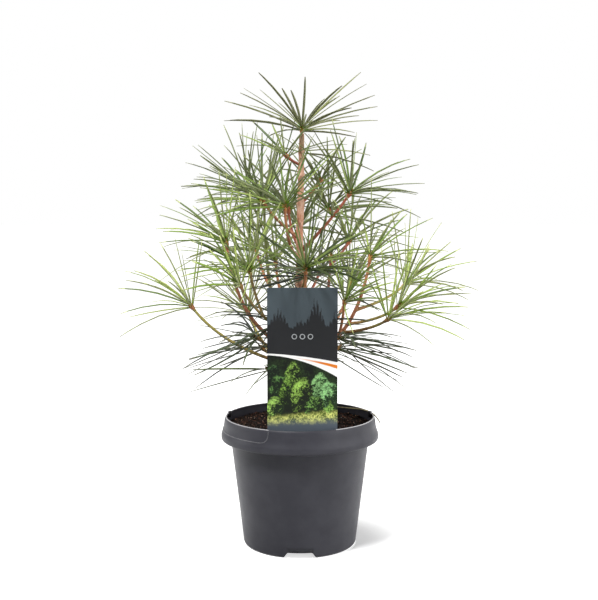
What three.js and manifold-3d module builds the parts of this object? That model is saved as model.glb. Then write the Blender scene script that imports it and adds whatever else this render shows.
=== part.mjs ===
// A young Japanese umbrella pine in its round nursery container, with a plant card in the soil.
// Lengths are in millimetres and angles in degrees. +Z is up, +X is the viewer's right and +Y
// points away from the viewer, so a compass angle of 0 is to the right and -90 to the front.
// The origin is the centre of the container's underside, at the level that it stands on.

import * as THREE from "three";
import { mergeVertices } from "three/addons/utils/BufferGeometryUtils.js";
import Module from "manifold-3d";

const wasm = await Module();
wasm.setup();

const { Vector2, Vector3 } = THREE;
const { degToRad } = THREE.MathUtils;

// Air left between pieces that rest against each other.
const CLEAR = 0.3;

// Container, thin moulded plastic: outside radii and the heights where they are met.
const POT = {
  sides: 32,
  wall: 1.6,
  footRadius: 63.5,
  bodyFoot: { radius: 67.8, height: 5 },
  bodyTop: { radius: 82.3, height: 124 },
  lip: { radius: 93, height: 127, out: 1.2, up: 0.6 },
  collar: { radius: 94.1, height: 131.6, below: 2.2, above: 3.6 },
  neck: { radius: 90.9, height: 144, out: 1, below: 7 },
  rim: { radius: 88, height: 153.8, out: 2.2, edge: 0.4 },
  curveSteps: 3,
};
// The floor is raised inside a skirt, with a cup in its middle that reaches down to the ground.
const FLOOR = {
  underside: 7.5,
  thickness: 2.5,
  bossRadius: 14,
  bossFlare: 1.5,
  cupTop: 13.2,
  cupBottom: 11.8,
  cupFit: 0.4,
  skirt: 2.4,
  skirtDraft: 0.6,
};
const DRAIN = { count: 8, radius: 4, circle: 42, sides: 8 };
const FOOT_NOTCH = {
  angles: [-90, 30, 150],
  width: 39,
  topWidth: 25,
  height: 7,
  outside: 4,
  inside: 10,
  over: 1,
};
const RIM_LUG = { angles: [9, 171], width: 7, depth: 5, height: 8, above: 2.2, outside: 0.6 };

// Soil, filled to a little under the rim.
const SOIL_TOP = 139;

// Plant card on its stake, set in the soil just inside the front rim.
const CARD = {
  centre: 2.8,
  width: 79,
  top: 313,
  bottom: 142,
  corner: 1.5,
  cornerSteps: 3,
  front: -72.5,
  thickness: 1,
  stakeWidth: 24,
  stakePoint: 6,
  stakeEnd: 92,
  stakeOverlap: 1,
};

// Trunk: radii, the flare over its root, and how far it strays from the upright at each height.
const TRUNK = {
  sides: 8,
  top: 486,
  footRadius: 7,
  topRadius: 3,
  flare: 3.6,
  flareHeight: 9,
  flareSteps: [0, 4, 11, 28],
  plainSteps: [215, 265, 290, 318, 365, 388, 423],
};
const TRUNK_LEAN = [
  { height: 139, x: 0, y: 0 },
  { height: 240, x: -0.8, y: 1 },
  { height: 322, x: -0.8, y: -0.6 },
  { height: 345, x: 1.2, y: 0.4 },
  { height: 365, x: -0.8, y: 0.6 },
  { height: 400, x: 0.8, y: 0 },
  { height: 440, x: 1.4, y: -0.4 },
  { height: 486, x: 2.2, y: 0 },
];
// Each year's growth ends in a slight swelling of the trunk.
const TRUNK_RINGS = { heights: [192, 238, 345, 406, 440, 467], swell: 0.9, spread: 3.5, halfStep: 5 };

// Whorls of needles. Needles stand between the inner and the outer angle from the whorl's axis,
// the higher the power the more of them near the inner one.
const WHORLS = {
  leader: { needles: 34, length: 90, inner: 48, outer: 94, power: 0.9, droop: 0.02 },
  fresh: { needles: 27, length: 86, inner: 42, outer: 90, power: 0.75, droop: 0.05 },
  small: { needles: 15, length: 62, inner: 34, outer: 84, power: 0.75, droop: 0.04 },
  sparse: { needles: 12, length: 82, inner: 70, outer: 94, power: 0.8, droop: 0.04 },
  old: { needles: 20, length: 90, inner: 66, outer: 98, power: 0.8, droop: 0.12 },
};
// The further a whorl is from the trunk, the more it leans out, closes up and droops.
const WHORL_LEAN = {
  base: 12,
  perReach: 0.27,
  innerPerReach: 0.22,
  outerPerReach: 0.24,
  droopPerReach: 0.0005,
  aged: 0.35,
};
// Every second needle of a whorl is made, full size.
const NEEDLE_STEP = 2;
// neck is the share of the stretch from root to bend that is still narrow.
const NEEDLE = {
  sides: 3,
  rootWidth: 1.1,
  width: 2.8,
  rootDepth: 1,
  depth: 1.7,
  bend: 0.56,
  arch: 0.03,
  sag: 0.3,
  neck: 0.15,
  neckRoom: 0.2,
  checks: 7,
};
const NEEDLE_SCATTER = { angle: 6, turn: 11, length: 0.06, tries: 7, perTry: 0.5 };
const GOLDEN_ANGLE = 137.508;
// Which run of repeatable numbers each kind of scatter draws from.
const DRAW = { tilt: 1, turn: 2, length: 3, start: 7 };
// Above this share of its length upwards, a needle counts as upright.
const NEARLY_UPRIGHT = 0.97;

// Shoots and boughs.
const STEM = { length: 12, radius: 1.5, footSwell: 0.4, sides: 5, steps: 2 };
const FORK = { above: 2.5, bow: 0.2 };
const BOUGH = { sides: 5, steps: 6, tipRadius: 1.6, footSwell: 0.5, footSwellLength: 7 };
const HUB = { radius: 2.7, length: 7, shoulder: 0.4, bud: 3.5 };
const LEADER = { length: 7, lean: 0.2 };
const COLLAR = { height: 467, radius: 5.4, bulge: 0.5, depth: 5, sides: 10, root: 5.3 };

// Needles keep out of the view of the card from the front, and out of the container.
const KEEP_OUT = { behindCard: 5, besideCard: 3, aboveCard: 3, slope: 0.08, besidePot: 5, abovePot: 16 };

// Boughs from the trunk. foot is the height where a bough leaves the trunk, or how far along
// the bough named in "on". angle, reach and height place its whorl, bow is how strongly it grows
// out before it turns up, and thick is its radius at the foot. share is the part of its length
// that is bare bough; the rest belongs to its needles. forks are further twigs in that part.
const SHOOTS = [
  { name: "upper_right", foot: 350, angle: -8, reach: 59, height: 418, bow: 0.1, thick: 2.5, share: 0.6,
    collar: "sparse", forks: [{ angle: 40, reach: 46, height: 399 }] },
  { name: "upper_front", foot: 341, angle: -117, reach: 38, height: 403, bow: 0.75, thick: 2.1 },
  { name: "upper_left", foot: 366, angle: -162, reach: 46, height: 410, bow: 0.2, thick: 1.9 },
  { name: "tall_left", foot: 240, angle: 149, reach: 50, height: 405, bow: 0.9, thick: 2.6, share: 0.84,
    forks: [{ angle: 138, reach: 87, height: 422 }] },
  { name: "mid_left", foot: 232, angle: -165, reach: 88, height: 361, bow: 0.7, thick: 2.7 },
  { name: "mid_back_left", foot: 272, angle: 133, reach: 79, height: 350, bow: 0.5, thick: 2.3 },
  { name: "mid_front_left", foot: 248, angle: -124, reach: 117, height: 318, bow: 0.35, thick: 2.4,
    share: 0.55, whorl: "small", forks: [{ angle: -138, reach: 77, height: 331 }] },
  { name: "front", foot: 242, angle: -84, reach: 62, height: 333, bow: 0.7, thick: 2.4 },
  { name: "mid_back_right", foot: 240, angle: 39, reach: 48, height: 342, bow: 0.85, thick: 2.4,
    whorl: "sparse", forks: [{ angle: 38, reach: 77, height: 361 }] },
  { name: "mid_right", foot: 220, angle: -19, reach: 86, height: 345, bow: 0.65, thick: 2.9 },
  { name: "far_right", on: "mid_right", foot: 0.6, angle: 5, reach: 127, height: 311, bow: 0.35, thick: 1.8 },
  { name: "low_right", on: "mid_right", foot: 0.48, angle: -25, reach: 123, height: 290, bow: 0.4,
    thick: 1.7 },
  { name: "low_front_right", on: "mid_right", foot: 0.4, angle: -33, reach: 119, height: 277, bow: 0.35,
    thick: 1.8 },
  { name: "far_left", foot: 212, angle: -168, reach: 129, height: 288, bow: 0.4, thick: 2.2 },
  { name: "low_left", foot: 187, angle: -150, reach: 42, height: 212, bow: 0.2, thick: 1.8, whorl: "old" },
  { name: "back_left", foot: 256, angle: 108, reach: 100, height: 332, bow: 0.6, thick: 2.5 },
  { name: "back", foot: 286, angle: 75, reach: 93, height: 317, bow: 0.3, thick: 2.2 },
  { name: "back_right", foot: 224, angle: 55, reach: 114, height: 305, bow: 0.5, thick: 2.5 },
  { name: "low_back_left", foot: 199, angle: 128, reach: 107, height: 269, bow: 0.4, thick: 2.3 },
  { name: "upper_back", foot: 302, angle: 90, reach: 62, height: 379, bow: 0.6, thick: 2.2 },
  { name: "low_back", foot: 194, angle: 90, reach: 125, height: 280, bow: 0.4, thick: 2.4 },
  { name: "top_left", foot: 451, angle: -153, reach: 18, height: 462, bow: 0.2, share: 0, whorl: "small" },
  { name: "top_right", foot: 406, angle: 39, reach: 32, height: 434, bow: 0.1, share: 0, whorl: "small" },
  { name: "upper_back_left", foot: 354, angle: 125, reach: 24, height: 400, bow: 0.5, share: 0 },
  { name: "front_right", on: "mid_right", foot: 0.36, angle: -51, reach: 80, height: 296, bow: 0.3, share: 0,
    whorl: "small" },
  { name: "old_left", foot: 206, angle: 154, reach: 51, height: 232, bow: 0.2, share: 0, whorl: "old" },
  { name: "old_right", foot: 207, angle: 24, reach: 50, height: 232, bow: 0.2, share: 0, whorl: "old" },
  { name: "old_front", foot: 226, angle: -100, reach: 49, height: 271, bow: 0.3, share: 0, whorl: "old" },
  { name: "old_front_left", foot: 221, angle: -146, reach: 60, height: 252, bow: 0.2, share: 0,
    whorl: "old" },
  { name: "old_low_right", foot: 238, angle: -36, reach: 54, height: 251, bow: 0.2, share: 0, whorl: "old" },
  { name: "old_front_right", foot: 224, angle: -64, reach: 49, height: 244, bow: 0.2, share: 0,
    whorl: "old" },
  { name: "old_centre", foot: 300, angle: -70, reach: 20, height: 322, bow: 0.2, share: 0, whorl: "old" },
];

const FINISHES = {
  pot: { color: 0x45464b, roughness: 0.45 },
  soil: { color: 0x241a15, roughness: 0.95 },
  card: { color: 0x3d4447, roughness: 0.35 },
  bark: { color: 0xc08062, roughness: 0.85 },
  bough: { color: 0xb57a4c, roughness: 0.8 },
  needles: { color: 0x3f6b33, roughness: 0.55 },
  oldNeedles: { color: 0x2c4430, roughness: 0.55 },
};

// A repeatable number from 0 to 1 for each set of whole numbers.
function seeded(...keys) {
  let state = 0x9e3779b9;
  for (const key of keys) {
    state = Math.imul(state ^ (key + 0x7f4a7c15), 0x85ebca6b);
    state ^= state >>> 13;
    state = Math.imul(state, 0xc2b2ae35);
    state ^= state >>> 16;
  }
  return (state >>> 0) / 4294967296;
}

function centred(...keys) {
  return 2 * seeded(...keys) - 1;
}

function compassPoint(angle, reach, height) {
  const turn = degToRad(angle);
  return new Vector3(reach * Math.cos(turn), reach * Math.sin(turn), height);
}

// Solids and meshes

function solidOf(geometry) {
  const bare = geometry.clone();
  bare.deleteAttribute("normal");
  bare.deleteAttribute("uv");
  const merged = mergeVertices(bare);
  const corners = merged.index.array;
  const triangles = [];
  for (let i = 0; i < corners.length; i += 3) {
    const [a, b, c] = corners.slice(i, i + 3);
    if (a !== b && b !== c && c !== a) {
      triangles.push(a, b, c);
    }
  }
  const vertProperties = new Float32Array(merged.attributes.position.array);
  const triVerts = new Uint32Array(triangles);
  return new wasm.Manifold(new wasm.Mesh({ numProp: 3, vertProperties, triVerts }));
}

function geometryOf(solid) {
  const mesh = solid.getMesh();
  const geometry = new THREE.BufferGeometry();
  geometry.setAttribute("position", new THREE.BufferAttribute(new Float32Array(mesh.vertProperties), 3));
  geometry.setIndex(new THREE.BufferAttribute(new Uint32Array(mesh.triVerts), 1));
  geometry.computeVertexNormals();
  return geometry;
}

function meshOf(name, solid, finish) {
  const material = new THREE.MeshStandardMaterial({ ...finish, metalness: 0 });
  const mesh = new THREE.Mesh(geometryOf(solid), material);
  mesh.name = name;
  return mesh;
}

function lathe(profile, sides) {
  const geometry = new THREE.LatheGeometry(profile, sides);
  geometry.rotateX(Math.PI / 2);
  return geometry;
}

// A closed body along a row of rings. Each ring has a centre, two directions across and its half
// width and half depth along them. With a tip the last ring closes in that point.
function ringBody(rings, sides, tip) {
  const points = [];
  for (const ring of rings) {
    for (let i = 0; i < sides; i += 1) {
      const turn = (2 * Math.PI * i) / sides;
      const point = ring.centre.clone();
      point.addScaledVector(ring.across, ring.width * Math.cos(turn));
      point.addScaledVector(ring.up, ring.depth * Math.sin(turn));
      points.push(point);
    }
  }
  const faces = [];
  for (let i = 1; i < sides - 1; i += 1) {
    faces.push(0, i + 1, i);
  }
  for (let r = 0; r < rings.length - 1; r += 1) {
    for (let i = 0; i < sides; i += 1) {
      const a = r * sides + i;
      const b = r * sides + ((i + 1) % sides);
      faces.push(a, b, b + sides, a, b + sides, a + sides);
    }
  }
  const last = (rings.length - 1) * sides;
  if (tip) {
    points.push(tip);
    for (let i = 0; i < sides; i += 1) {
      faces.push(last + i, last + ((i + 1) % sides), points.length - 1);
    }
  } else {
    for (let i = 1; i < sides - 1; i += 1) {
      faces.push(last, last + i, last + i + 1);
    }
  }
  const geometry = new THREE.BufferGeometry().setFromPoints(points);
  geometry.setIndex(faces);
  return geometry;
}

// Container, soil and card

// The outside of the container from its foot to the top of its rim.
function potOutline() {
  const { footRadius, bodyFoot, bodyTop, lip, collar, neck, rim } = POT;
  const path = new THREE.Path();
  path.moveTo(footRadius, 0);
  path.quadraticCurveTo(bodyFoot.radius, 0, bodyFoot.radius, bodyFoot.height);
  path.lineTo(bodyTop.radius, bodyTop.height);
  path.lineTo(lip.radius, lip.height);
  path.bezierCurveTo(lip.radius + lip.out, lip.height + lip.up, collar.radius, collar.height - collar.below,
    collar.radius, collar.height);
  path.bezierCurveTo(collar.radius, collar.height + collar.above, neck.radius + neck.out,
    neck.height - neck.below, neck.radius, neck.height);
  path.quadraticCurveTo(rim.radius + rim.out, rim.height, rim.radius, rim.height);
  return path.getPoints(POT.curveSteps);
}

// The same outline moved inwards, square to itself.
function inset(outline, distance) {
  return outline.map((point, i) => {
    const before = outline[Math.max(i - 1, 0)];
    const after = outline[Math.min(i + 1, outline.length - 1)];
    const along = new Vector2().subVectors(after, before).normalize();
    return new Vector2(point.x - along.y * distance, point.y + along.x * distance);
  });
}

// The inside of the wall, from the floor's top up to the rim.
function insideWall() {
  const { bodyFoot, bodyTop, wall, rim } = POT;
  const floorTop = FLOOR.underside + FLOOR.thickness;
  const slope = (bodyTop.radius - bodyFoot.radius) / (bodyTop.height - bodyFoot.height);
  const foot = new Vector2(bodyFoot.radius - wall + slope * (floorTop - bodyFoot.height), floorTop);
  const above = inset(potOutline(), wall).filter((point) => {
    return point.y > floorTop + wall && point.y < rim.height - rim.edge;
  });
  return [foot, ...above.filter((point, i) => i % 2 === 0 || i === above.length - 1)];
}

// The radius of an outline where it passes the given height.
function radiusAt(outline, height) {
  const i = outline.findIndex((point) => point.y > height);
  const [low, high] = [outline[i - 1], outline[i]];
  return low.x + ((high.x - low.x) * (height - low.y)) / (high.y - low.y);
}

function potSolid() {
  const { underside, thickness, bossRadius, bossFlare, cupTop, cupBottom, skirt, skirtDraft } = FLOOR;
  const profile = [
    new Vector2(0, 0),
    new Vector2(bossRadius, 0),
    new Vector2(bossRadius + bossFlare, underside),
    new Vector2(POT.footRadius - skirt + skirtDraft, underside),
    new Vector2(POT.footRadius - skirt, 0),
    ...potOutline(),
    ...insideWall().reverse(),
    new Vector2(cupTop, underside + thickness),
    new Vector2(cupBottom, thickness),
    new Vector2(0, thickness),
  ];
  let pot = solidOf(lathe(profile, POT.sides));
  for (let i = 0; i < DRAIN.count; i += 1) {
    const drill = new THREE.CylinderGeometry(DRAIN.radius, DRAIN.radius, 3 * thickness, DRAIN.sides);
    drill.rotateX(Math.PI / 2);
    const place = compassPoint((360 * (i + 0.5)) / DRAIN.count, DRAIN.circle, underside + thickness / 2);
    drill.translate(place.x, place.y, place.z);
    pot = pot.subtract(solidOf(drill));
  }
  for (const angle of FOOT_NOTCH.angles) {
    pot = pot.subtract(solidOf(notchShape(angle)));
  }
  for (const angle of RIM_LUG.angles) {
    pot = pot.add(solidOf(lugShape(angle)));
  }
  return pot;
}

// A trapezium cut through the foot's skirt, wider at the bottom.
function notchShape(angle) {
  const { width, topWidth, height, outside, inside, over } = FOOT_NOTCH;
  const shape = new THREE.Shape();
  shape.moveTo(-width / 2 - over, -over);
  shape.lineTo(width / 2 + over, -over);
  shape.lineTo(topWidth / 2, height);
  shape.lineTo(-topWidth / 2, height);
  shape.closePath();
  const notch = new THREE.ExtrudeGeometry(shape, { depth: inside + outside, bevelEnabled: false });
  notch.rotateX(Math.PI / 2);
  notch.translate(0, -POT.footRadius + inside, 0);
  notch.rotateZ(degToRad(angle + 90));
  return notch;
}

// A small stacking lug that stands up inside the rim.
function lugShape(angle) {
  const { width, depth, height, above, outside } = RIM_LUG;
  const lug = new THREE.BoxGeometry(depth, width, height);
  lug.translate(POT.rim.radius - depth / 2 + outside, 0, POT.rim.height + above - height / 2);
  lug.rotateZ(degToRad(angle));
  return lug;
}

// The soil fills the container and the cup in its floor.
function soilSolid() {
  const { thickness, cupTop, cupBottom, cupFit } = FLOOR;
  const wall = insideWall();
  const floorTop = wall[0].y + CLEAR;
  const room = 2 * CLEAR;
  const filled = wall.filter((point) => point.y > floorTop && point.y < SOIL_TOP - CLEAR);
  const profile = [
    new Vector2(0, thickness + CLEAR),
    new Vector2(cupBottom - cupFit, thickness + CLEAR),
    new Vector2(cupTop - cupFit, floorTop),
    new Vector2(wall[0].x - room, floorTop),
    ...filled.map((point) => new Vector2(point.x - room, point.y)),
    new Vector2(radiusAt(wall, SOIL_TOP) - room, SOIL_TOP),
    new Vector2(0, SOIL_TOP),
  ];
  const soil = solidOf(lathe(profile, POT.sides));
  return soil.subtract(solidOf(stakeShape(CLEAR)));
}

// The card's stake, grown all round by the given amount.
function stakeShape(grow) {
  const { centre, stakeWidth, stakePoint, stakeEnd, front, thickness } = CARD;
  const top = CARD.bottom + CARD.stakeOverlap;
  const shape = new THREE.Shape();
  shape.moveTo(centre - stakePoint / 2 - grow, stakeEnd - grow);
  shape.lineTo(centre + stakePoint / 2 + grow, stakeEnd - grow);
  shape.lineTo(centre + stakeWidth / 2 + grow, SOIL_TOP);
  shape.lineTo(centre + stakeWidth / 2 + grow, top);
  shape.lineTo(centre - stakeWidth / 2 - grow, top);
  shape.lineTo(centre - stakeWidth / 2 - grow, SOIL_TOP);
  shape.closePath();
  return upright(shape, front - grow, thickness + 2 * grow);
}

// A flat shape stood upright, facing the viewer.
function upright(shape, front, thickness) {
  const settings = { depth: thickness, bevelEnabled: false, curveSegments: CARD.cornerSteps };
  const slab = new THREE.ExtrudeGeometry(shape, settings);
  slab.rotateX(Math.PI / 2);
  slab.translate(0, front + thickness, 0);
  return slab;
}

function cardSolid() {
  const { centre, width, top, bottom, corner, front, thickness } = CARD;
  const left = centre - width / 2;
  const right = centre + width / 2;
  const shape = new THREE.Shape();
  shape.moveTo(left + corner, bottom);
  shape.lineTo(right - corner, bottom);
  shape.quadraticCurveTo(right, bottom, right, bottom + corner);
  shape.lineTo(right, top - corner);
  shape.quadraticCurveTo(right, top, right - corner, top);
  shape.lineTo(left + corner, top);
  shape.quadraticCurveTo(left, top, left, top - corner);
  shape.lineTo(left, bottom + corner);
  shape.quadraticCurveTo(left, bottom, left + corner, bottom);
  return solidOf(upright(shape, front, thickness)).add(solidOf(stakeShape(0)));
}

// Trunk

function trunkRadius(height) {
  const { top, footRadius, topRadius, flare, flareHeight } = TRUNK;
  const rise = (height - SOIL_TOP) / (top - SOIL_TOP);
  let radius = footRadius + (topRadius - footRadius) * rise;
  radius += flare * Math.exp(-(height - SOIL_TOP) / flareHeight);
  for (const ring of TRUNK_RINGS.heights) {
    radius += TRUNK_RINGS.swell * Math.exp(-(((height - ring) / TRUNK_RINGS.spread) ** 2));
  }
  return radius;
}

function trunkCentre(height) {
  const last = TRUNK_LEAN.length - 1;
  let i = TRUNK_LEAN.findIndex((node) => node.height > height);
  i = i < 1 ? last : i;
  const low = TRUNK_LEAN[i - 1];
  const high = TRUNK_LEAN[i];
  const share = (height - low.height) / (high.height - low.height);
  const x = low.x + (high.x - low.x) * share;
  const y = low.y + (high.y - low.y) * share;
  return new Vector3(x, y, height);
}

// Heights of the trunk's rings: close together over the root flare and at each year's swelling.
function trunkHeights() {
  const { halfStep } = TRUNK_RINGS;
  const flare = TRUNK.flareSteps.map((step) => SOIL_TOP + CLEAR + step);
  const swellings = TRUNK_RINGS.heights.flatMap((ring) => [ring - halfStep, ring, ring + halfStep]);
  return [...flare, ...swellings, ...TRUNK.plainSteps, TRUNK.top].sort((a, b) => a - b);
}

function trunkSolid(grow) {
  const across = new Vector3(1, 0, 0);
  const up = new Vector3(0, 1, 0);
  const rings = trunkHeights().map((height) => {
    const radius = trunkRadius(height) + grow;
    return { centre: trunkCentre(height), across, up, width: radius, depth: radius };
  });
  return solidOf(ringBody(rings, TRUNK.sides));
}

// Limbs

// A limb's line: it grows out first and then turns up, the more so the larger its bow.
function limbCurve(start, end, bow) {
  const out = new Vector3(end.x - start.x, end.y - start.y, 0);
  const rise = end.z - start.z;
  const first = start.clone().addScaledVector(out, (1 + bow) / 3);
  first.z += (rise * (1 - bow)) / 3;
  const second = start.clone().addScaledVector(out, (2 + bow) / 3);
  second.z += (rise * (2 - bow)) / 3;
  return new THREE.CubicBezierCurve3(start, first, second, end);
}

// Rings along a stretch of a curve, with the radius found from the share of the stretch.
function curveRings(curve, from, to, steps, radiusAt) {
  const start = curve.getPointAt(0);
  const end = curve.getPointAt(1);
  const side = new Vector3(start.y - end.y, end.x - start.x, 0).normalize();
  const rings = [];
  for (let i = 0; i <= steps; i += 1) {
    const place = from + ((to - from) * i) / steps;
    const along = curve.getTangentAt(place);
    const up = new Vector3().crossVectors(along, side).normalize();
    const radius = radiusAt(i / steps);
    rings.push({ centre: curve.getPointAt(place), across: side, up, width: radius, depth: radius });
  }
  return rings;
}

function boughRings(shoot, grow) {
  const span = shoot.curve.getLength() * shoot.share;
  return curveRings(shoot.curve, 0, shoot.share, BOUGH.steps, (share) => {
    const foot = 1 + BOUGH.footSwell * Math.exp((-share * span) / BOUGH.footSwellLength);
    return (shoot.thick + (BOUGH.tipRadius - shoot.thick) * share) * foot + grow;
  });
}

// A twig that ends in a swollen hub with its resting bud.
function twigBody(curve, from, footRadius) {
  const length = curve.getLength();
  const end = curve.getPointAt(1);
  const along = curve.getTangentAt(1);
  const rings = curveRings(curve, from, 1 - HUB.length / 2 / length, STEM.steps, (share) => {
    return footRadius + (STEM.radius - footRadius) * share;
  });
  const [below, above] = curveRings(curve, 1, 1, 1, () => HUB.radius);
  below.centre = end.clone().addScaledVector(along, -HUB.shoulder * HUB.length);
  above.centre = end.clone().addScaledVector(along, HUB.shoulder * HUB.length);
  const bud = end.clone().addScaledVector(along, HUB.length / 2 + HUB.bud);
  return ringBody([...rings, below, above], STEM.sides, bud);
}

// Needles

function makeWhorl(mass, curve, at, kindName, angle, reach, number) {
  const hub = curve.getPointAt(at);
  const along = curve.getTangentAt(at);
  const kind = { ...WHORLS[kindName] };
  const aged = kindName === "old" || kindName === "sparse";
  const far = aged ? WHORL_LEAN.aged * reach : reach;
  if (!aged) {
    kind.inner -= WHORL_LEAN.innerPerReach * far;
    kind.outer -= WHORL_LEAN.outerPerReach * far;
    kind.droop += WHORL_LEAN.droopPerReach * far;
  }
  const lean = degToRad(kindName === "leader" ? 0 : WHORL_LEAN.base + WHORL_LEAN.perReach * far);
  const axis = compassPoint(angle, Math.sin(lean), Math.cos(lean));
  const across = compassPoint(angle + 90, 1, 0);
  const up = new Vector3().crossVectors(axis, across).normalize();
  return { mass, hub, along, axis, across, up, kind, number };
}

// One needle of a whorl: root, bend and tip. Later tries scatter it further from its place.
function needleLine(whorl, k, attempt) {
  const { kind, number } = whorl;
  const spread = 1 + NEEDLE_SCATTER.perTry * attempt;
  const order = ((k + 0.5) / kind.needles) ** kind.power;
  const tilt = kind.inner + (kind.outer - kind.inner) * order
    + spread * NEEDLE_SCATTER.angle * centred(number, k, attempt, DRAW.tilt);
  const turn = GOLDEN_ANGLE * k + 360 * seeded(number, DRAW.start)
    + spread * NEEDLE_SCATTER.turn * centred(number, k, attempt, DRAW.turn);
  const away = new Vector3();
  away.addScaledVector(whorl.across, Math.cos(degToRad(turn)) * Math.sin(degToRad(tilt)));
  away.addScaledVector(whorl.up, Math.sin(degToRad(turn)) * Math.sin(degToRad(tilt)));
  away.addScaledVector(whorl.axis, Math.cos(degToRad(tilt)));
  const length = kind.length * (1 + NEEDLE_SCATTER.length * centred(number, k, DRAW.length));
  const spiral = HUB.length * HUB.shoulder * (whorl.collar ? 1 : 2);
  const tier = spiral * (0.5 - (k + 0.5) / kind.needles);
  const root = whorl.hub.clone().addScaledVector(whorl.along, tier);
  root.addScaledVector(away, whorl.collar ?? 1);
  const level = Math.hypot(away.x, away.y);
  const bend = root.clone().addScaledVector(away, NEEDLE.bend * length);
  bend.z += length * (NEEDLE.arch - NEEDLE.sag * kind.droop) * level;
  const tip = root.clone().addScaledVector(away, length);
  tip.z -= length * kind.droop * level;
  return { root, bend, tip };
}

function needleBody(line) {
  const along = new Vector3().subVectors(line.tip, line.root).normalize();
  const level = Math.abs(along.z) > NEARLY_UPRIGHT ? new Vector3(1, 0, 0) : new Vector3(0, 0, 1);
  const across = new Vector3().crossVectors(level, along).normalize();
  const up = new Vector3().crossVectors(along, across).normalize();
  const root = { centre: line.root, across, up, width: NEEDLE.rootWidth / 2, depth: NEEDLE.rootDepth / 2 };
  const bend = { centre: line.bend, across, up, width: NEEDLE.width / 2, depth: NEEDLE.depth / 2 };
  return ringBody([root, bend], NEEDLE.sides, line.tip);
}

// Room

// Everything that a needle must keep clear of, as thick lines with an owner.
const taken = [];

function take(owner, from, to, radius) {
  taken.push({ owner, line: new THREE.Line3(from, to), radius });
}

function takeRings(owner, rings) {
  for (let i = 0; i < rings.length - 1; i += 1) {
    take(owner, rings[i].centre, rings[i + 1].centre, Math.max(rings[i].width, rings[i + 1].width));
  }
}

function isClear(owner, from, to, radius) {
  const line = new THREE.Line3(from, to);
  for (const other of taken) {
    if (other.owner !== owner) {
      const room = other.radius + radius + CLEAR;
      if (line.distanceSqToLine3(other.line) < room * room) {
        return false;
      }
    }
  }
  return true;
}

// No needle enters the card, the space in front of it, or the container.
function isOpen(point) {
  const { centre, width, top, front } = CARD;
  const sightLine = top + KEEP_OUT.aboveCard + KEEP_OUT.slope * Math.max(front - point.y, 0);
  const overCard = Math.abs(point.x - centre) < width / 2 + KEEP_OUT.besideCard && point.z < sightLine;
  const beforeCard = overCard && point.y < front + KEEP_OUT.behindCard;
  const overPot = Math.hypot(point.x, point.y) < POT.collar.radius + KEEP_OUT.besidePot;
  const inPot = overPot && point.z < POT.rim.height + KEEP_OUT.abovePot;
  return !beforeCard && !inPot;
}

function needleFits(whorl, line) {
  for (let check = 1; check <= NEEDLE.checks; check += 1) {
    const share = check / NEEDLE.checks;
    const point = share < NEEDLE.bend
      ? line.root.clone().lerp(line.bend, share / NEEDLE.bend)
      : line.bend.clone().lerp(line.tip, (share - NEEDLE.bend) / (1 - NEEDLE.bend));
    if (!isOpen(point)) {
      return false;
    }
  }
  const half = NEEDLE.width / 2;
  const neck = line.root.clone().lerp(line.bend, NEEDLE.neck);
  return isClear(whorl.mass, line.root, neck, NEEDLE.rootWidth / 2 + NEEDLE.neckRoom)
    && isClear(whorl.mass, neck, line.bend, half)
    && isClear(whorl.mass, line.bend, line.tip, half);
}

// Growth: first every limb, then the needles in turn, one of each whorl at a time.

const plant = new THREE.Group();
const grownTrunk = trunkSolid(CLEAR);
const trunkRings = trunkHeights().map((height) => {
  return { centre: trunkCentre(height), width: trunkRadius(height) };
});
takeRings("trunk", trunkRings);

const boughs = new Map();
const masses = new Map();
const whorls = [];

function addWhorl(mass, curve, at, kindName, angle, reach) {
  whorls.push(makeWhorl(mass, curve, at, kindName, angle, reach, whorls.length + 1));
}

function growTwig(mass, curve, from, footRadius, parent) {
  let body = solidOf(twigBody(curve, from, footRadius));
  if (parent) {
    body = body.subtract(parent);
  }
  masses.set(mass, masses.has(mass) ? masses.get(mass).add(body) : body);
  takeRings(mass, curveRings(curve, from, 1, STEM.steps, () => STEM.radius + STEM.footSwell));
}

function growShoot(shoot) {
  const mass = `needles_${shoot.name}`;
  const carrier = shoot.on ? boughs.get(shoot.on) : null;
  const start = carrier ? carrier.curve.getPointAt(shoot.foot) : trunkCentre(shoot.foot);
  const end = compassPoint(shoot.angle, shoot.reach, shoot.height);
  shoot.curve = limbCurve(start, end, shoot.bow);
  const length = shoot.curve.getLength();
  shoot.share = shoot.share ?? 1 - STEM.length / length;
  const parent = carrier ? carrier.grown : grownTrunk;
  const hasBough = shoot.share > 0;
  if (hasBough) {
    const rings = boughRings(shoot, 0);
    const bough = solidOf(ringBody(rings, BOUGH.sides)).subtract(parent);
    const grown = solidOf(ringBody(boughRings(shoot, CLEAR), BOUGH.sides));
    boughs.set(shoot.name, { bough, grown, curve: shoot.curve });
    takeRings(`bough_${shoot.name}`, rings);
  }
  const stemFrom = hasBough ? shoot.share + CLEAR / length : 0;
  const stemFoot = hasBough ? BOUGH.tipRadius : STEM.radius + STEM.footSwell;
  growTwig(mass, shoot.curve, stemFrom, stemFoot, hasBough ? null : parent);
  addWhorl(mass, shoot.curve, 1, shoot.whorl ?? "fresh", shoot.angle, shoot.reach);
  const forkAt = stemFrom + FORK.above / length;
  for (const fork of shoot.forks ?? []) {
    const tip = compassPoint(fork.angle, fork.reach, fork.height);
    const twig = limbCurve(shoot.curve.getPointAt(forkAt), tip, FORK.bow);
    growTwig(mass, twig, 0, STEM.radius, null);
    addWhorl(mass, twig, 1, "fresh", fork.angle, fork.reach);
  }
  if (shoot.collar) {
    addWhorl(mass, shoot.curve, forkAt, shoot.collar, shoot.angle, shoot.reach);
  }
}

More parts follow.
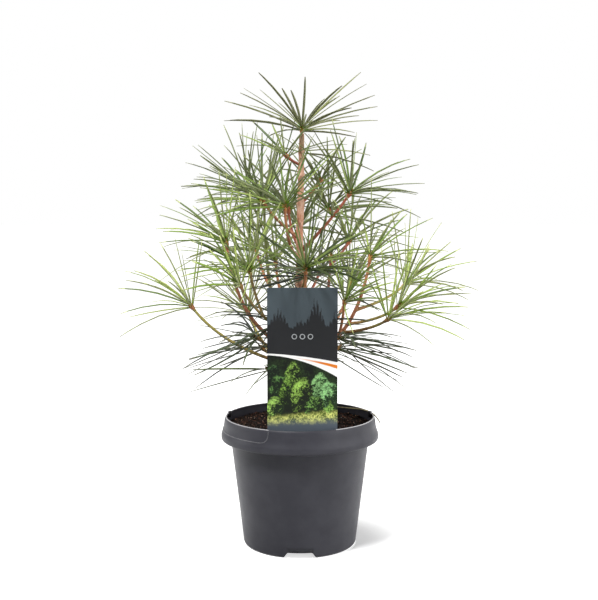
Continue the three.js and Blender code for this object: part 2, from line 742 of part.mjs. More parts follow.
// The leader: the whorl on the trunk's tip.
function growLeader() {
  const foot = trunkCentre(TRUNK.top);
  const start = foot.clone().setZ(TRUNK.top + CLEAR);
  const end = new Vector3(foot.x + LEADER.lean, foot.y, TRUNK.top + LEADER.length);
  const curve = new THREE.LineCurve3(start, end);
  growTwig("needles_leader", curve, 0, TRUNK.topRadius, null);
  addWhorl("needles_leader", curve, 1, "leader", 0, 0);
}

// Last year's needles stand on a collar round the trunk.
function growCollar() {
  const { height, radius, bulge, depth, sides, root } = COLLAR;
  const profile = [
    new Vector2(0, -depth / 2),
    new Vector2(radius, -depth / 2),
    new Vector2(radius + bulge, 0),
    new Vector2(radius, depth / 2),
    new Vector2(0, depth / 2),
  ];
  const centre = trunkCentre(height);
  const geometry = lathe(profile, sides).translate(centre.x, centre.y, centre.z);
  masses.set("needles_collar", solidOf(geometry).subtract(grownTrunk));
  const upwards = new THREE.LineCurve3(centre, centre.clone().setZ(height + 1));
  addWhorl("needles_collar", upwards, 0, "sparse", 0, 0);
  whorls[whorls.length - 1].collar = root;
}

growLeader();
growCollar();
SHOOTS.forEach(growShoot);

const mostNeedles = Math.max(...whorls.map((whorl) => whorl.kind.needles));
for (let k = 0; k < mostNeedles; k += NEEDLE_STEP) {
  for (const whorl of whorls) {
    const tries = k < whorl.kind.needles ? NEEDLE_SCATTER.tries : 0;
    for (let attempt = 0; attempt < tries; attempt += 1) {
      const line = needleLine(whorl, k, attempt);
      if (needleFits(whorl, line)) {
        const half = NEEDLE.width / 2;
        take(whorl.mass, line.root, line.bend, half);
        take(whorl.mass, line.bend, line.tip, half);
        masses.set(whorl.mass, masses.get(whorl.mass).add(solidOf(needleBody(line))));
        break;
      }
    }
  }
}

plant.add(meshOf("pot", potSolid(), FINISHES.pot));
plant.add(meshOf("soil", soilSolid(), FINISHES.soil));
plant.add(meshOf("plant_card", cardSolid(), FINISHES.card));
plant.add(meshOf("trunk", trunkSolid(0), FINISHES.bark));
for (const [name, limb] of boughs) {
  plant.add(meshOf(`bough_${name}`, limb.bough, FINISHES.bough));
}
for (const [name, solid] of masses) {
  plant.add(meshOf(name, solid, name.includes("old") ? FINISHES.oldNeedles : FINISHES.needles));
}

export default plant;
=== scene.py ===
import bpy
import numpy as np
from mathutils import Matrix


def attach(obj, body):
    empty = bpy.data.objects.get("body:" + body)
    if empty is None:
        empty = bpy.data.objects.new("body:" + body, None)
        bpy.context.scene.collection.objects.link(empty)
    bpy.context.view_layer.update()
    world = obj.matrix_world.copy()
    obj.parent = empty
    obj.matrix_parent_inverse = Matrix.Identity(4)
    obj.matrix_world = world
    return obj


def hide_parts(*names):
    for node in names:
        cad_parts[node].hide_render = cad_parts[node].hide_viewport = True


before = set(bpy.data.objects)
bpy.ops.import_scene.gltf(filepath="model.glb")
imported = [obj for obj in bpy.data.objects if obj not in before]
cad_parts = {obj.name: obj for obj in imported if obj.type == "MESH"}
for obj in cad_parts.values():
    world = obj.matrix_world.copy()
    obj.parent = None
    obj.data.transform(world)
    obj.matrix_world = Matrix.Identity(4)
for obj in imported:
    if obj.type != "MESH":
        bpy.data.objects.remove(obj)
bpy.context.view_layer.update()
scene = bpy.context.scene

# Camera
# It stands 1.2 m in front of the plant and 0.4 m up, and is tipped a little down.
# A focal length of 1015 px on the picture's long side of 600 px gives the lens.
LONG_SIDE_PX = 600
FOCAL_PX = 1015
SENSOR_WIDTH = 36
CAMERA_AT = (-0.001, -1.2, 0.403)
CAMERA_DIP = 5.26
camera_data = bpy.data.cameras.new("camera")
camera_data.sensor_width = SENSOR_WIDTH
camera_data.lens = SENSOR_WIDTH * FOCAL_PX / LONG_SIDE_PX
camera = bpy.data.objects.new("camera", camera_data)
camera.location = CAMERA_AT
camera.rotation_euler = (np.radians(90 - CAMERA_DIP), 0, 0)
scene.collection.objects.link(camera)
scene.camera = camera


# Pot
# A round nursery pot of charcoal polypropylene, injection moulded in one thin wall. It has a rolled
# collar with a beaded panel on its left, two stacking lugs, and three notches in the foot's skirt.
# Lengths are in millimetres until a mesh is made, and angles in degrees where nothing else is said.
METRE = 1000
FOOT = 63.5
# The corners of the wall's outside, each as a radius and a height.
BODY_FOOT = (67.8, 5)
BODY_TOP = (82.3, 124)
LIP = (93, 127)
COLLAR = (94.1, 131.6)
NECK = (90.9, 144)
RIM = (88, 153.8)
WALL = 1.6
FLOOR_UNDER = 7.5
FLOOR_TOP = 10
BOSS = 14
CUP_DEPTH = 7.5
SKIRT = 2.4
CORNER_ROUND = 0.5
BEND_ROUND = 0.4
POT_COLUMNS = 600
NOTCH = {"angles": (-90, 30, 150), "low": 19.5, "high": 12.5, "height": 7}
LUG = {"angles": (9, 171), "width": 7, "depth": 4.4, "below": 5, "above": 2.2, "square": 0.4}
PANEL = {"centre": 180, "half_width": 66.8, "bottom": 138.6, "top": 152, "corner": 10.5, "bead": 0.55,
         "step": 0.8}
# The stretch of rim in front of the card that gets no painted highlight.
NO_RIM_HIGHLIGHT = {"middle": 2.8, "half": 39, "fade": 2, "back": 20}
DRAIN = {"count": 8, "radius": 4, "circle": 42}


def bezier(controls, t):
    """Points on the Bezier curve of the controls: each pass mixes every neighbouring pair of points in
    the ratio 1 - t to t, until one point is left for each t from 0 to 1."""
    t = np.asarray(t, float)[..., None]
    level = [np.asarray(control, float) for control in controls]
    while len(level) > 1:
        level = [(1 - t) * a + t * b for a, b in zip(level, level[1:])]
    return level[0]


def stretch(controls, steps):
    """The Bezier curve of the controls at equal steps of t."""
    return bezier(controls, np.linspace(0, 1, steps + 1))


def joined_path(*stretches):
    """The stretches end to end, each without its first point, which the one before it ends in."""
    return np.concatenate([stretches[0]] + [part[1:] for part in stretches[1:]])


def softened(points, radius, steps=3):
    """The path with each corner replaced by a quadratic Bezier curve, which starts and ends the
    radius away from the corner, or less where a neighbour is near."""
    path = [points[:1]]
    for before, corner, after in zip(points, points[1:], points[2:]):
        back = before - corner
        onward = after - corner
        reach = min(radius, np.hypot(*back) / 2.1, np.hypot(*onward) / 2.1)
        start = corner + back * reach / np.hypot(*back)
        end = corner + onward * reach / np.hypot(*onward)
        path.append(stretch([start, corner, end], steps))
    return np.concatenate(path + [points[-1:]])


def eased(value, low, high):
    """0 below low, 1 above high, and 3t^2 - 2t^3 of the share t between them."""
    t = np.clip((value - low) / (high - low), 0, 1)
    return t * t * (3 - 2 * t)


def circle(columns):
    """Equal steps round a full turn, in radians."""
    return np.arange(columns) * 2 * np.pi / columns


def around(reach, turn, height):
    """Points from their reach from the z axis, their angle round it in radians, and their height."""
    return np.stack(np.broadcast_arrays(reach * np.cos(turn), reach * np.sin(turn), height), -1)


def spokes(across, up, columns):
    """Directions square to a line at equal steps of a turn: across times the turn's cosine, and up
    times its sine."""
    turn = circle(columns)[:, None]
    return across[..., None, :] * np.cos(turn) + up[..., None, :] * np.sin(turn)


def shells(rings, first, last):
    """Points and faces of bodies that are rows of closed rings, an array of bodies x rows x columns x
    3. Quads join each ring to the next, and a fan of triangles closes each end in its own point."""
    bodies, rows, columns = rings.shape[:3]
    size = rows * columns + 2
    points = np.concatenate([rings.reshape(bodies, -1, 3), first[:, None], last[:, None]], axis=1)
    row, column = np.mgrid[0:rows - 1, 0:columns]
    a = row * columns + column
    b = row * columns + (column + 1) % columns
    quads = np.stack([a, b, b + columns, a + columns], -1).reshape(-1, 4)
    here = np.arange(columns)
    there = (here + 1) % columns
    end = (rows - 1) * columns
    low = np.stack([there, here, np.full(columns, size - 2)], -1)
    high = np.stack([end + here, end + there, np.full(columns, size - 1)], -1)
    triangles = np.concatenate([low, high])
    starts = np.arange(bodies)[:, None, None] * size
    return points.reshape(-1, 3), (quads + starts).reshape(-1, 4), (triangles + starts).reshape(-1, 3)


def closed_by_middles(rings):
    """Bodies closed at both ends in the middle of their end rings."""
    return shells(rings, rings[:, 0].mean(axis=1), rings[:, -1].mean(axis=1))


def volume(points, quads, triangles):
    """Six times the volume inside closed faces: the sum of each triangle's triple product."""
    corners = np.concatenate([triangles, quads[:, [0, 1, 2]], quads[:, [0, 2, 3]]])
    a, b, c = (points[corners[:, i]] for i in range(3))
    return np.einsum("ij,ij->i", a, np.cross(b, c)).sum()


def new_mesh(name, shape, finishes=(), which=None, attributes=None):
    """A smooth mesh object, from points in millimetres and faces that are turned outwards. which
    gives each quad's and then each triangle's finish, and attributes are one number a point."""
    points, quads, triangles = shape
    if volume(points, quads, triangles) < 0:
        quads = quads[:, ::-1]
        triangles = triangles[:, ::-1]
    mesh = bpy.data.meshes.new(name)
    mesh.vertices.add(len(points))
    mesh.vertices.foreach_set("co", (points / METRE).astype(np.float32).ravel())
    corners = np.concatenate([quads.ravel(), triangles.ravel()]).astype(np.int32)
    starts = np.concatenate([np.arange(len(quads)) * 4, quads.size + np.arange(len(triangles)) * 3])
    mesh.loops.add(len(corners))
    mesh.loops.foreach_set("vertex_index", corners)
    mesh.polygons.add(len(starts))
    mesh.polygons.foreach_set("loop_start", starts.astype(np.int32))
    for finish in finishes:
        mesh.materials.append(finish.material)
    if which is not None:
        mesh.polygons.foreach_set("material_index", np.asarray(which, np.int32))
    for key, numbers in (attributes or {}).items():
        layer = mesh.attributes.new(key, "FLOAT", "POINT")
        layer.data.foreach_set("value", numbers.astype(np.float32).ravel())
    mesh.update(calc_edges=True)
    mesh.validate()
    mesh.shade_smooth()
    made = bpy.data.objects.new(name, mesh)
    scene.collection.objects.link(made)
    return made


def add_piece(name, slot, nodes, *mesh_parts, **mesh_options):
    """A mesh that rides on the root body and stands for the CAD nodes."""
    made = new_mesh(name, *mesh_parts, **mesh_options)
    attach(made, "root")
    if nodes:
        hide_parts(*nodes)
    return made


def together(*shapes):
    """Several shapes as one: their points in a row, and their faces counted on."""
    starts = np.cumsum([0] + [len(points) for points, _, _ in shapes])
    return (np.concatenate([points for points, _, _ in shapes]),
            np.concatenate([quads + start for (_, quads, _), start in zip(shapes, starts)]),
            np.concatenate([triangles + start for (_, _, triangles), start in zip(shapes, starts)]))


def colour(red, green, blue):
    """A screen colour, 0 to 255 a channel, as the linear light that a shader takes."""
    screen = np.array([red, green, blue]) / 255
    light = np.where(screen <= 0.04045, screen / 12.92, ((screen + 0.055) / 1.055) ** 2.4)
    return (*light.tolist(), 1.0)


def operator(operation):
    """One of Python's arithmetic signs, as the Math node of an operation."""
    return lambda value, *others: value.math(operation, *others)


class Value:
    """A shader socket that Python's own arithmetic works on: an expression adds its Math nodes."""

    def __init__(self, pattern, socket):
        self.pattern = pattern
        self.socket = socket

    def math(self, operation, *others):
        sockets = dict(enumerate((self, *others)))
        return self.pattern.node("ShaderNodeMath", {"operation": operation}, sockets)

    __add__ = __radd__ = operator("ADD")
    __sub__ = operator("SUBTRACT")
    __mul__ = __rmul__ = operator("MULTIPLY")
    __truediv__ = operator("DIVIDE")
    __abs__ = operator("ABSOLUTE")

    def __rsub__(self, other):
        return self * -1 + other

    def ramp(self, low, high):
        """0 below low, 1 above high, and eased between them."""
        sockets = {"Value": self, "From Min": low, "From Max": high}
        return self.pattern.node("ShaderNodeMapRange", {"interpolation_type": "SMOOTHSTEP"}, sockets)

    def mix(self, first, second):
        """A colour between two, first where the value is 0. A plain one is a screen colour."""
        ends = [end if isinstance(end, Value) else colour(*end) for end in (first, second)]
        sockets = {0: self, 6: ends[0], 7: ends[1]}
        return self.pattern.node("ShaderNodeMix", {"data_type": "RGBA"}, sockets, 2)


class Pattern:
    """A node tree in the making: each method adds the nodes of one step and gives its Value."""

    def __init__(self, tree):
        self.tree = tree

    def node(self, kind, settings, sockets, output=0):
        """Adds one node: first its settings, and then the value or the link of each socket."""
        made = self.tree.nodes.new(kind)
        for setting, value in settings.items():
            setattr(made, setting, value)
        for key, value in sockets.items():
            if isinstance(value, Value):
                self.tree.links.new(value.socket, made.inputs[key])
            else:
                made.inputs[key].default_value = value
        return Value(self, made.outputs[output])

    def place(self, x=METRE, y=METRE, z=METRE):
        """The point on the piece, which is in metres, with each axis multiplied."""
        point = self.node("ShaderNodeTexCoord", {}, {}, "Object")
        return self.node("ShaderNodeVectorMath", {"operation": "MULTIPLY"}, {0: point, 1: (x, y, z)})

    def axis(self, name):
        """One of the three numbers of the point, in millimetres."""
        return self.node("ShaderNodeSeparateXYZ", {}, {0: self.place()}, name)

    def length(self, point):
        """How far a point is from the origin."""
        return self.node("ShaderNodeVectorMath", {"operation": "LENGTH"}, {0: point}, "Value")

    def stored(self, name):
        """A number that the mesh keeps for each of its points."""
        return self.node("ShaderNodeAttribute", {"attribute_name": name}, {}, "Fac")

    def noise(self, scale, detail=2, roughness=0.5, upright=1):
        """Smooth noise from 0 to 1 with its largest lumps this many to the metre, or fewer up the
        piece where upright is less than 1."""
        sockets = {"Vector": self.place(1, 1, upright), "Scale": scale, "Detail": detail,
                   "Roughness": roughness}
        return self.node("ShaderNodeTexNoise", {}, sockets)


class Finish(Pattern):
    """A material in the making: the patterns that feed its Principled shader."""

    def __init__(self, name, **plain):
        self.material = bpy.data.materials.new(name)
        self.material.use_nodes = True
        super().__init__(self.material.node_tree)
        self.shader = self.tree.nodes["Principled BSDF"]
        for socket, value in plain.items():
            self.shader.inputs[socket.replace("_", " ")].default_value = value

    def feed(self, socket, value):
        """Links a value to one of the shader's own sockets."""
        self.tree.links.new(value.socket, self.shader.inputs[socket])

    def bump(self, height, distance):
        """Tilts the light by a height from 0 to 1 that stands for the distance, in metres."""
        sockets = {"Height": height, "Distance": distance, "Strength": 1.0}
        self.feed("Normal", self.node("ShaderNodeBump", {}, sockets))


def pot_wall():
    """The outside of the wall from foot to rim, and the inside from under the rim to the floor, which
    is the outside moved square to itself by the wall's thickness."""
    foot = stretch([(FOOT, 0), (BODY_FOOT[0], 0), BODY_FOOT], 8)
    body = stretch([BODY_FOOT, BODY_TOP], 12)
    lip = stretch([BODY_TOP, LIP], 4)
    roll = stretch([LIP, (LIP[0] + 1.2, LIP[1] + 0.6), (COLLAR[0], COLLAR[1] - 2.2), COLLAR], 10)
    collar = stretch([COLLAR, (COLLAR[0], COLLAR[1] + 3.6), (NECK[0] + 1, NECK[1] - 7), NECK], 16)
    rim = stretch([NECK, (RIM[0] + 2.2, RIM[1]), RIM], 12)
    outside = joined_path(foot, body, lip, roll, collar, rim)
    along = np.gradient(outside, axis=0)
    along /= np.hypot(along[:, 0], along[:, 1])[:, None]
    inside = outside + np.stack([-along[:, 1], along[:, 0]], -1) * WALL
    kept = (inside[:, 1] > FLOOR_TOP + WALL) & (inside[:, 1] < RIM[1] - 1.4)
    return outside, inside[kept][::-1]


def pot_section():
    """The pot's section from the axis under the floor, up the outside, over the rim, and down the
    inside to the axis again, as radius and height."""
    outside, inside = pot_wall()
    under = np.array([[BOSS, 0], [BOSS + 1.5, FLOOR_UNDER], [FOOT - SKIRT + 0.6, FLOOR_UNDER],
                      [FOOT - SKIRT + 0.3, 4], [FOOT - SKIRT, 0], [FOOT, 0]], float)
    over = stretch([RIM, (RIM[0] - 1.1, RIM[1] + 0.1), inside[0]], 5)
    floor = np.array([inside[-1], [inside[-1][0] - 0.3, FLOOR_TOP], [BOSS - 0.8, FLOOR_TOP],
                      [BOSS - 2.2, FLOOR_TOP - CUP_DEPTH], [1, FLOOR_TOP - CUP_DEPTH]], float)
    return joined_path(softened(under, CORNER_ROUND), softened(outside, BEND_ROUND), over, inside,
                       softened(floor, CORNER_ROUND))


def notch_height(turn):
    """How far the foot is cut away at each angle: the notch's height, eased to 0 down its sides."""
    height = np.zeros_like(turn)
    for angle in NOTCH["angles"]:
        from_middle = np.abs(np.radians((np.degrees(turn) - angle + 180) % 360 - 180)) * FOOT
        side = eased(-from_middle, -NOTCH["low"], -NOTCH["high"])
        height = np.maximum(height, NOTCH["height"] * side)
    return height


def unit(vectors):
    """Vectors of length 1 with the same directions."""
    return vectors / np.linalg.norm(vectors, axis=-1, keepdims=True)


def bead_shape():
    """A round bead, half sunk in the collar. It goes down from the rim, round a soft corner, along the
    panel's bottom, and up again. Each ring lies square to the path."""
    half = np.radians(PANEL["half_width"]) * COLLAR[0]
    above = PANEL["top"] + PANEL["corner"]
    corner = np.array([(-half, above), (-half, PANEL["bottom"]), (half, PANEL["bottom"]), (half, above)])
    path = softened(corner, PANEL["corner"], 16)
    path[:, 1] = np.minimum(path[:, 1], PANEL["top"])
    steps = np.concatenate([[0], np.cumsum(np.hypot(*np.diff(path, axis=0).T))])
    even = np.arange(0, steps[-1], PANEL["step"])
    path = np.stack([np.interp(even, steps, path[:, i]) for i in range(2)], -1)
    outside = pot_wall()[0]
    upper = outside[outside[:, 1] >= COLLAR[1]]
    radius = np.interp(path[:, 1], upper[:, 1], upper[:, 0])
    turn = np.radians(PANEL["centre"]) - path[:, 0] / COLLAR[0]
    centre = around(radius, turn, path[:, 1])
    along = unit(np.gradient(centre, axis=0))
    beside = unit(np.cross(along, around(1, turn, 0)))
    return (centre[:, None] + spokes(np.cross(beside, along), beside, 8) * PANEL["bead"])[None]


def pot_shape():
    """The section carried round the axis, and at the foot lifted to the notches' outline."""
    section = pot_section()
    radius = section[:, :1]
    height = section[:, 1:]
    turn = circle(POT_COLUMNS)
    at_foot = (radius > FOOT - SKIRT - 0.1) & (height < NOTCH["height"])
    height = np.where(at_foot, np.maximum(height, notch_height(turn)), height)
    return around(radius, turn, height)[None]


def lug_shape(angle):
    """A small block with round corners, standing in the rim: a rounded square, carried upwards and
    drawn in at the top."""
    cosine, sine = around(1, circle(24), 0).T[:2]
    heights = np.array([-LUG["below"], LUG["above"] - 0.6, LUG["above"] - 0.15, LUG["above"]])[:, None]
    drawn = np.array([1, 1, 0.93, 0.8])[:, None]
    depth = np.sign(cosine) * np.abs(cosine) ** LUG["square"] * LUG["depth"] / 2 * drawn
    width = np.sign(sine) * np.abs(sine) ** LUG["square"] * LUG["width"] / 2 * drawn
    reach = RIM[0] + 0.4 - LUG["depth"] / 2 + depth
    turn = np.radians(angle)
    x = reach * np.cos(turn) - width * np.sin(turn)
    y = reach * np.sin(turn) + width * np.cos(turn)
    return np.stack(np.broadcast_arrays(x, y, RIM[1] + heights), -1)[None]


def drilled(piece, drill):
    """Cuts the drill's closed bodies out of the piece by a Boolean, and keeps the result as its mesh."""
    cut = piece.modifiers.new("drain_holes", "BOOLEAN")
    cut.operation = "DIFFERENCE"
    cut.solver = "EXACT"
    cut.object = drill
    bpy.context.view_layer.update()
    graph = bpy.context.evaluated_depsgraph_get()
    result = bpy.data.meshes.new_from_object(piece.evaluated_get(graph))
    piece.modifiers.clear()
    piece.data = result
    bpy.data.objects.remove(drill)


pot_finish = Finish("charcoal_plastic", Specular_IOR_Level=0.18)
height = pot_finish.axis("Z")
from_axis = pot_finish.length(pot_finish.place(z=0))
mottle = pot_finish.noise(38, 3).ramp(0.3, 0.7)
dust = pot_finish.noise(260, 4, 0.7).ramp(0.6, 0.85) * 0.16
plastic = mottle.mix((50, 50, 56), (57, 57, 63))
plastic = dust.mix(plastic, (96, 94, 94))
# The inside of the wall above the soil is painted darker: painted shade.
inside = 1 - from_axis.ramp(NECK[0] - 5, NECK[0] - 3.5)
inside = inside * height.ramp(LIP[1] + 1, LIP[1] + 2)
plastic = (inside * 0.85).mix(plastic, (26, 24, 25))
# The rim's top edge is painted lighter, except in front of the card: a painted highlight.
on_rim = height.ramp(RIM[1] - 0.9, RIM[1] - 0.2)
rim_highlight = on_rim * from_axis.ramp(RIM[0] - 2, RIM[0] - 1)
aside = abs(pot_finish.axis("X") - NO_RIM_HIGHLIGHT["middle"])
beside_card = aside.ramp(NO_RIM_HIGHLIGHT["half"] - NO_RIM_HIGHLIGHT["fade"], NO_RIM_HIGHLIGHT["half"])
behind = pot_finish.axis("Y").ramp(0, NO_RIM_HIGHLIGHT["back"])
rim_highlight = rim_highlight * beside_card.math("MAXIMUM", behind)
pot_finish.feed("Base Color", (rim_highlight * 0.85).mix(plastic, (172, 170, 172)))
pot_finish.feed("Roughness", pot_finish.noise(90, 3) * 0.14 + 0.36)
pot_finish.bump(pot_finish.noise(1500), 0.00005)
pot_body = add_piece("pot_body", "pot_plastic", ["pot"], closed_by_middles(pot_shape()), [pot_finish])
turns = np.radians(360 * (np.arange(DRAIN["count"]) + 0.5) / DRAIN["count"])[:, None, None]
drill_ends = np.array([FLOOR_UNDER - 3, FLOOR_TOP + 3])[:, None]
drill_rings = around(DRAIN["circle"], turns, 0) + around(DRAIN["radius"], circle(32), drill_ends)
drilled(pot_body, new_mesh("drain_drill", closed_by_middles(drill_rings), [pot_finish]))
lugs = [closed_by_middles(lug_shape(angle)) for angle in LUG["angles"]]
add_piece("pot_lugs", "pot_plastic", ["pot"], together(*lugs), [pot_finish])
# The bead is painted lighter than the pot and mottled at random: a painted highlight along it.
bead_finish = Finish("highlit_bead", Roughness=0.4)
bead_highlight = bead_finish.noise(120, 3).ramp(0.3, 0.7)
bead_finish.feed("Base Color", bead_highlight.mix((62, 62, 66), (92, 91, 95)))
add_piece("panel_bead", "pot_plastic", ["pot"], closed_by_middles(bead_shape()), [bead_finish])


# Soil
# Dark peat with composted bark, filled to a little under the rim, with chips of bark and a few pale
# grains of perlite on top, a reddish twig, a pale root and one dry needle. It is loose and lumpy.
SOIL_TOP = 139
SOIL_COLUMNS = 420
SOIL_RISE = {"height": 3.6, "from": 20, "to": 62}
WALL_GAP = {"depth": 4.6, "width": 4}
# The lumps' heights and sizes.
LUMPS = ((1.4, 17), (1.3, 6), (0.9, 2.6))
CLEAR_OF_WALL = 0.4
CUP_HEIGHTS = (FLOOR_TOP + 0.3, FLOOR_TOP + 0.3, FLOOR_TOP - 6)
CUP_RADII = (12.6, 11)
CHIP_ROUGH = 0.35
# How much the chips tilt, in radians.
CHIP_TILT = 0.45


def lattice_number(cell, seed):
    """A repeatable number from -1 to 1 for each corner of a cubic lattice: its three whole numbers
    times three primes, mixed by shifts and multiplications."""
    key = (cell @ np.array([73856093, 19349663, 83492791]) + seed * 668265263) & 0xFFFFFFFF
    key = ((key ^ (key >> 15)) * 2246822519) & 0xFFFFFFFF
    key = ((key ^ (key >> 13)) * 3266489917) & 0xFFFFFFFF
    return (key ^ (key >> 16)) / 2147483648 - 1


def lumps(points, size, seed):
    """Smooth noise from -1 to 1: a point takes the mix of the numbers at its cell's eight corners,
    each weighted by how near it is along the three axes, eased by 3t^2 - 2t^3."""
    scaled = points / size
    cell = np.floor(scaled).astype(np.int64)
    part = scaled - cell
    part = part * part * (3 - 2 * part)
    total = np.zeros(points.shape[:-1])
    for corner in np.ndindex(2, 2, 2):
        weight = np.prod(np.where(np.array(corner) == 1, part, 1 - part), axis=-1)
        total += weight * lattice_number(cell + np.array(corner), seed)
    return total


def inside_radius(height):
    """The radius of the inside of the pot's wall at a height."""
    wall = pot_wall()[1][::-1]
    return np.interp(height, wall[:, 1], wall[:, 0])


SOIL_EDGE = inside_radius(SOIL_TOP) - 0.15


def on_soil(reach, turn):
    """Points on the soil: lumps of three sizes on a level that rises away from the stem, and sinks
    again in a narrow gap along the wall."""
    points = around(reach, turn, 0.0)
    rough = sum(height * lumps(points, size, seed) for seed, (height, size) in enumerate(LUMPS, 1))
    rise = SOIL_RISE["height"] * eased(reach, SOIL_RISE["from"], SOIL_RISE["to"])
    sink = WALL_GAP["depth"] * eased(reach, SOIL_EDGE - WALL_GAP["width"], SOIL_EDGE)
    points[..., 2] = SOIL_TOP + rise - sink + rough * eased(-reach, -SOIL_EDGE, 5 - SOIL_EDGE)
    return points


def soil_shape():
    """Rings from the axis outwards at the soil's level, down the wall, and back along the floor and
    into the cup in its middle."""
    turn = circle(SOIL_COLUMNS)
    top = on_soil(np.linspace(0.6, SOIL_EDGE, 140)[:, None], turn)
    heights = np.array([134, 130.5, 129, 123.5, 122.5, 112, 60, 14, *CUP_HEIGHTS])
    radii = inside_radius(heights) - CLEAR_OF_WALL
    radii[-3:] = (inside_radius(14) - 1.5, *CUP_RADII)
    return np.concatenate([top, around(radii[:, None], turn, heights[:, None])])[None]


def chips(places, sizes, generator):
    """Small rough blocks: two rings of five corners each, flattened, and turned at random."""
    count = len(places)
    rings = np.stack([around(0.8, circle(5), -0.5), around(1, circle(5), 0.5)])[None].repeat(count, axis=0)
    rings = rings * (1 + CHIP_ROUGH * generator.uniform(-1, 1, rings.shape)) * sizes[:, None, None]
    tilt = generator.normal(0, CHIP_TILT, (count, 3))
    tilt[:, 2] = generator.uniform(0, 2 * np.pi, count)
    rings = turned(turned(turned(rings, tilt[:, 2], 0, 1), tilt[:, 0], 1, 2), tilt[:, 1], 2, 0)
    return closed_by_middles(rings + places[:, None, None])


def turned(rings, angles, first, second):
    """The rings of each body turned by its own angle from the first axis towards the second."""
    cosine = np.cos(angles)[:, None, None]
    sine = np.sin(angles)[:, None, None]
    result = rings.copy()
    result[..., first] = rings[..., first] * cosine - rings[..., second] * sine
    result[..., second] = rings[..., first] * sine + rings[..., second] * cosine
    return result


def scattered(count, inner, outer, generator):
    """Places on the soil, even over the ring between two radii."""
    reach = np.sqrt(generator.uniform(inner ** 2, outer ** 2, count))
    return on_soil(reach, generator.uniform(0, 2 * np.pi, count))


def rod(controls, radii, columns=8, rows=24, flat=1):
    """A round or flattened rod along a Bezier curve. The radius runs evenly through the given ones, and
    each ring lies across the curve, its width level."""
    t = np.linspace(0, 1, rows)
    centre = bezier(controls, t)
    along = unit(np.gradient(centre, axis=0))
    across = unit(np.cross(along, (0, 0, 1)))
    up = np.cross(across, along)
    radius = np.interp(t, np.linspace(0, 1, len(radii)), radii)[:, None, None]
    return closed_by_middles((centre[:, None] + spokes(across, up * flat, columns) * radius)[None])


soil_finish = Finish("moist_peat", Roughness=0.9, Specular_IOR_Level=0.12)
crumb = soil_finish.noise(620, 3, 0.7)
peat = crumb.ramp(0.35, 0.7).mix((8, 5, 3), (50, 34, 27))
bark_bits = soil_finish.noise(240).ramp(0.6, 0.72)
peat = bark_bits.mix(peat, (66, 43, 34))
pale_specks = soil_finish.noise(1100, 1).ramp(0.72, 0.78)
soil_finish.feed("Base Color", pale_specks.mix(peat, (120, 98, 82)))
soil_finish.bump(crumb, 0.0012)
add_piece("soil_bed", "potting_soil", ["soil"], closed_by_middles(soil_shape()), [soil_finish])

generator = np.random.default_rng(11)
# Each kind of chip: how many, the least and the most size, how flat, and its colour.
CHIPS = (
    ("dark_chips", 1500, 0.9, 2.4, 0.5, (24, 17, 13)),
    ("bark_chips", 560, 0.8, 2.6, 0.45, (86, 53, 41)),
    ("tan_chips", 420, 0.5, 1.6, 0.5, (152, 120, 100)),
    ("perlite_grains", 34, 0.4, 0.8, 0.9, (205, 200, 192)),
)
for name, count, least, most, flat, tint in CHIPS:
    chip_finish = Finish(name, Roughness=0.85, Specular_IOR_Level=0.2)
    speck = chip_finish.noise(900).ramp(0.35, 0.65)
    chip_finish.feed("Base Color", speck.mix(np.array(tint) * 0.6, tint))
    places = scattered(count, 12, SOIL_EDGE - 3, generator)
    sizes = generator.uniform(least, most, (count, 1)) * np.array([1, 0.6, flat])
    add_piece(name, "potting_soil", [], chips(places, sizes, generator), [chip_finish])

# Each loose piece: its colour, its radii from end to end, how flat, and the curve that it lies along.
LITTER = (
    ("red_twig", (132, 84, 72), (1, 1.3, 0.9), 1,
     [(47, 72, 140), (51, 66, 142.5), (53, 56, 141.5), (57, 48, 139)]),
    ("pale_root", (186, 170, 150), (0.4, 0.6, 0.3), 1,
     [(-45, 31, 138.5), (-38, 38, 142), (-44, 48, 142), (-41, 58, 138.5)]),
    ("dry_needle", (146, 138, 98), (0.7, 1.4, 1.5, 1.2, 0.7), 0.5,
     [(40, 76, 150.5), (62, 55, 149), (83, 30, 158), (89, 8, 157.5), (96, -7, 145.5)]),
)
for name, tint, radii, flat, controls in LITTER:
    litter_finish = Finish(name, Roughness=0.7)
    streak = litter_finish.noise(420, 3).ramp(0.35, 0.65)
    litter_finish.feed("Base Color", streak.mix(np.array(tint) * 0.72, tint))
    add_piece(name, "potting_soil", [], rod(controls, radii, flat=flat), [litter_finish])


# Plant card
# A sheet of printed polypropylene, a millimetre thick with rounded corners, welded to a stake that
# is pushed into the soil. The front is glossy print, and the back is left plain.
CARD_CENTRE = 2.8
CARD_WIDTH = 79
CARD_TOP = 313
CARD_BOTTOM = 142
CARD_CORNER = 1.5
CARD_FRONT = -72.5
CARD_THICK = 1
CARD_OUTLINE = 48
STAKE_WIDTH = 24
STAKE_THICK = 0.9
STAKE_POINT = 6
STAKE_END = 92
EDGE_ROUND = 0.12
LINE_EDGE = 0.25


def card_shape():
    """The outline of a rectangle with round corners, carried from front to back in four rings, of which
    the outer two are drawn in by the edge's small rounding."""
    turn = circle(CARD_OUTLINE) + np.pi / CARD_OUTLINE
    x = np.sign(np.cos(turn)) * (CARD_WIDTH / 2 - CARD_CORNER) + np.cos(turn) * CARD_CORNER
    z = np.sign(np.sin(turn)) * ((CARD_TOP - CARD_BOTTOM) / 2 - CARD_CORNER) + np.sin(turn) * CARD_CORNER
    drawn = np.array([1, 0, 0, 1])[:, None] * EDGE_ROUND
    depth = np.array([0, EDGE_ROUND, CARD_THICK - EDGE_ROUND, CARD_THICK])[:, None]
    x = CARD_CENTRE + x - np.sign(x) * drawn
    z = (CARD_TOP + CARD_BOTTOM) / 2 + z - np.sign(z) * drawn
    return np.stack(np.broadcast_arrays(x, CARD_FRONT + depth, z), -1)[None]


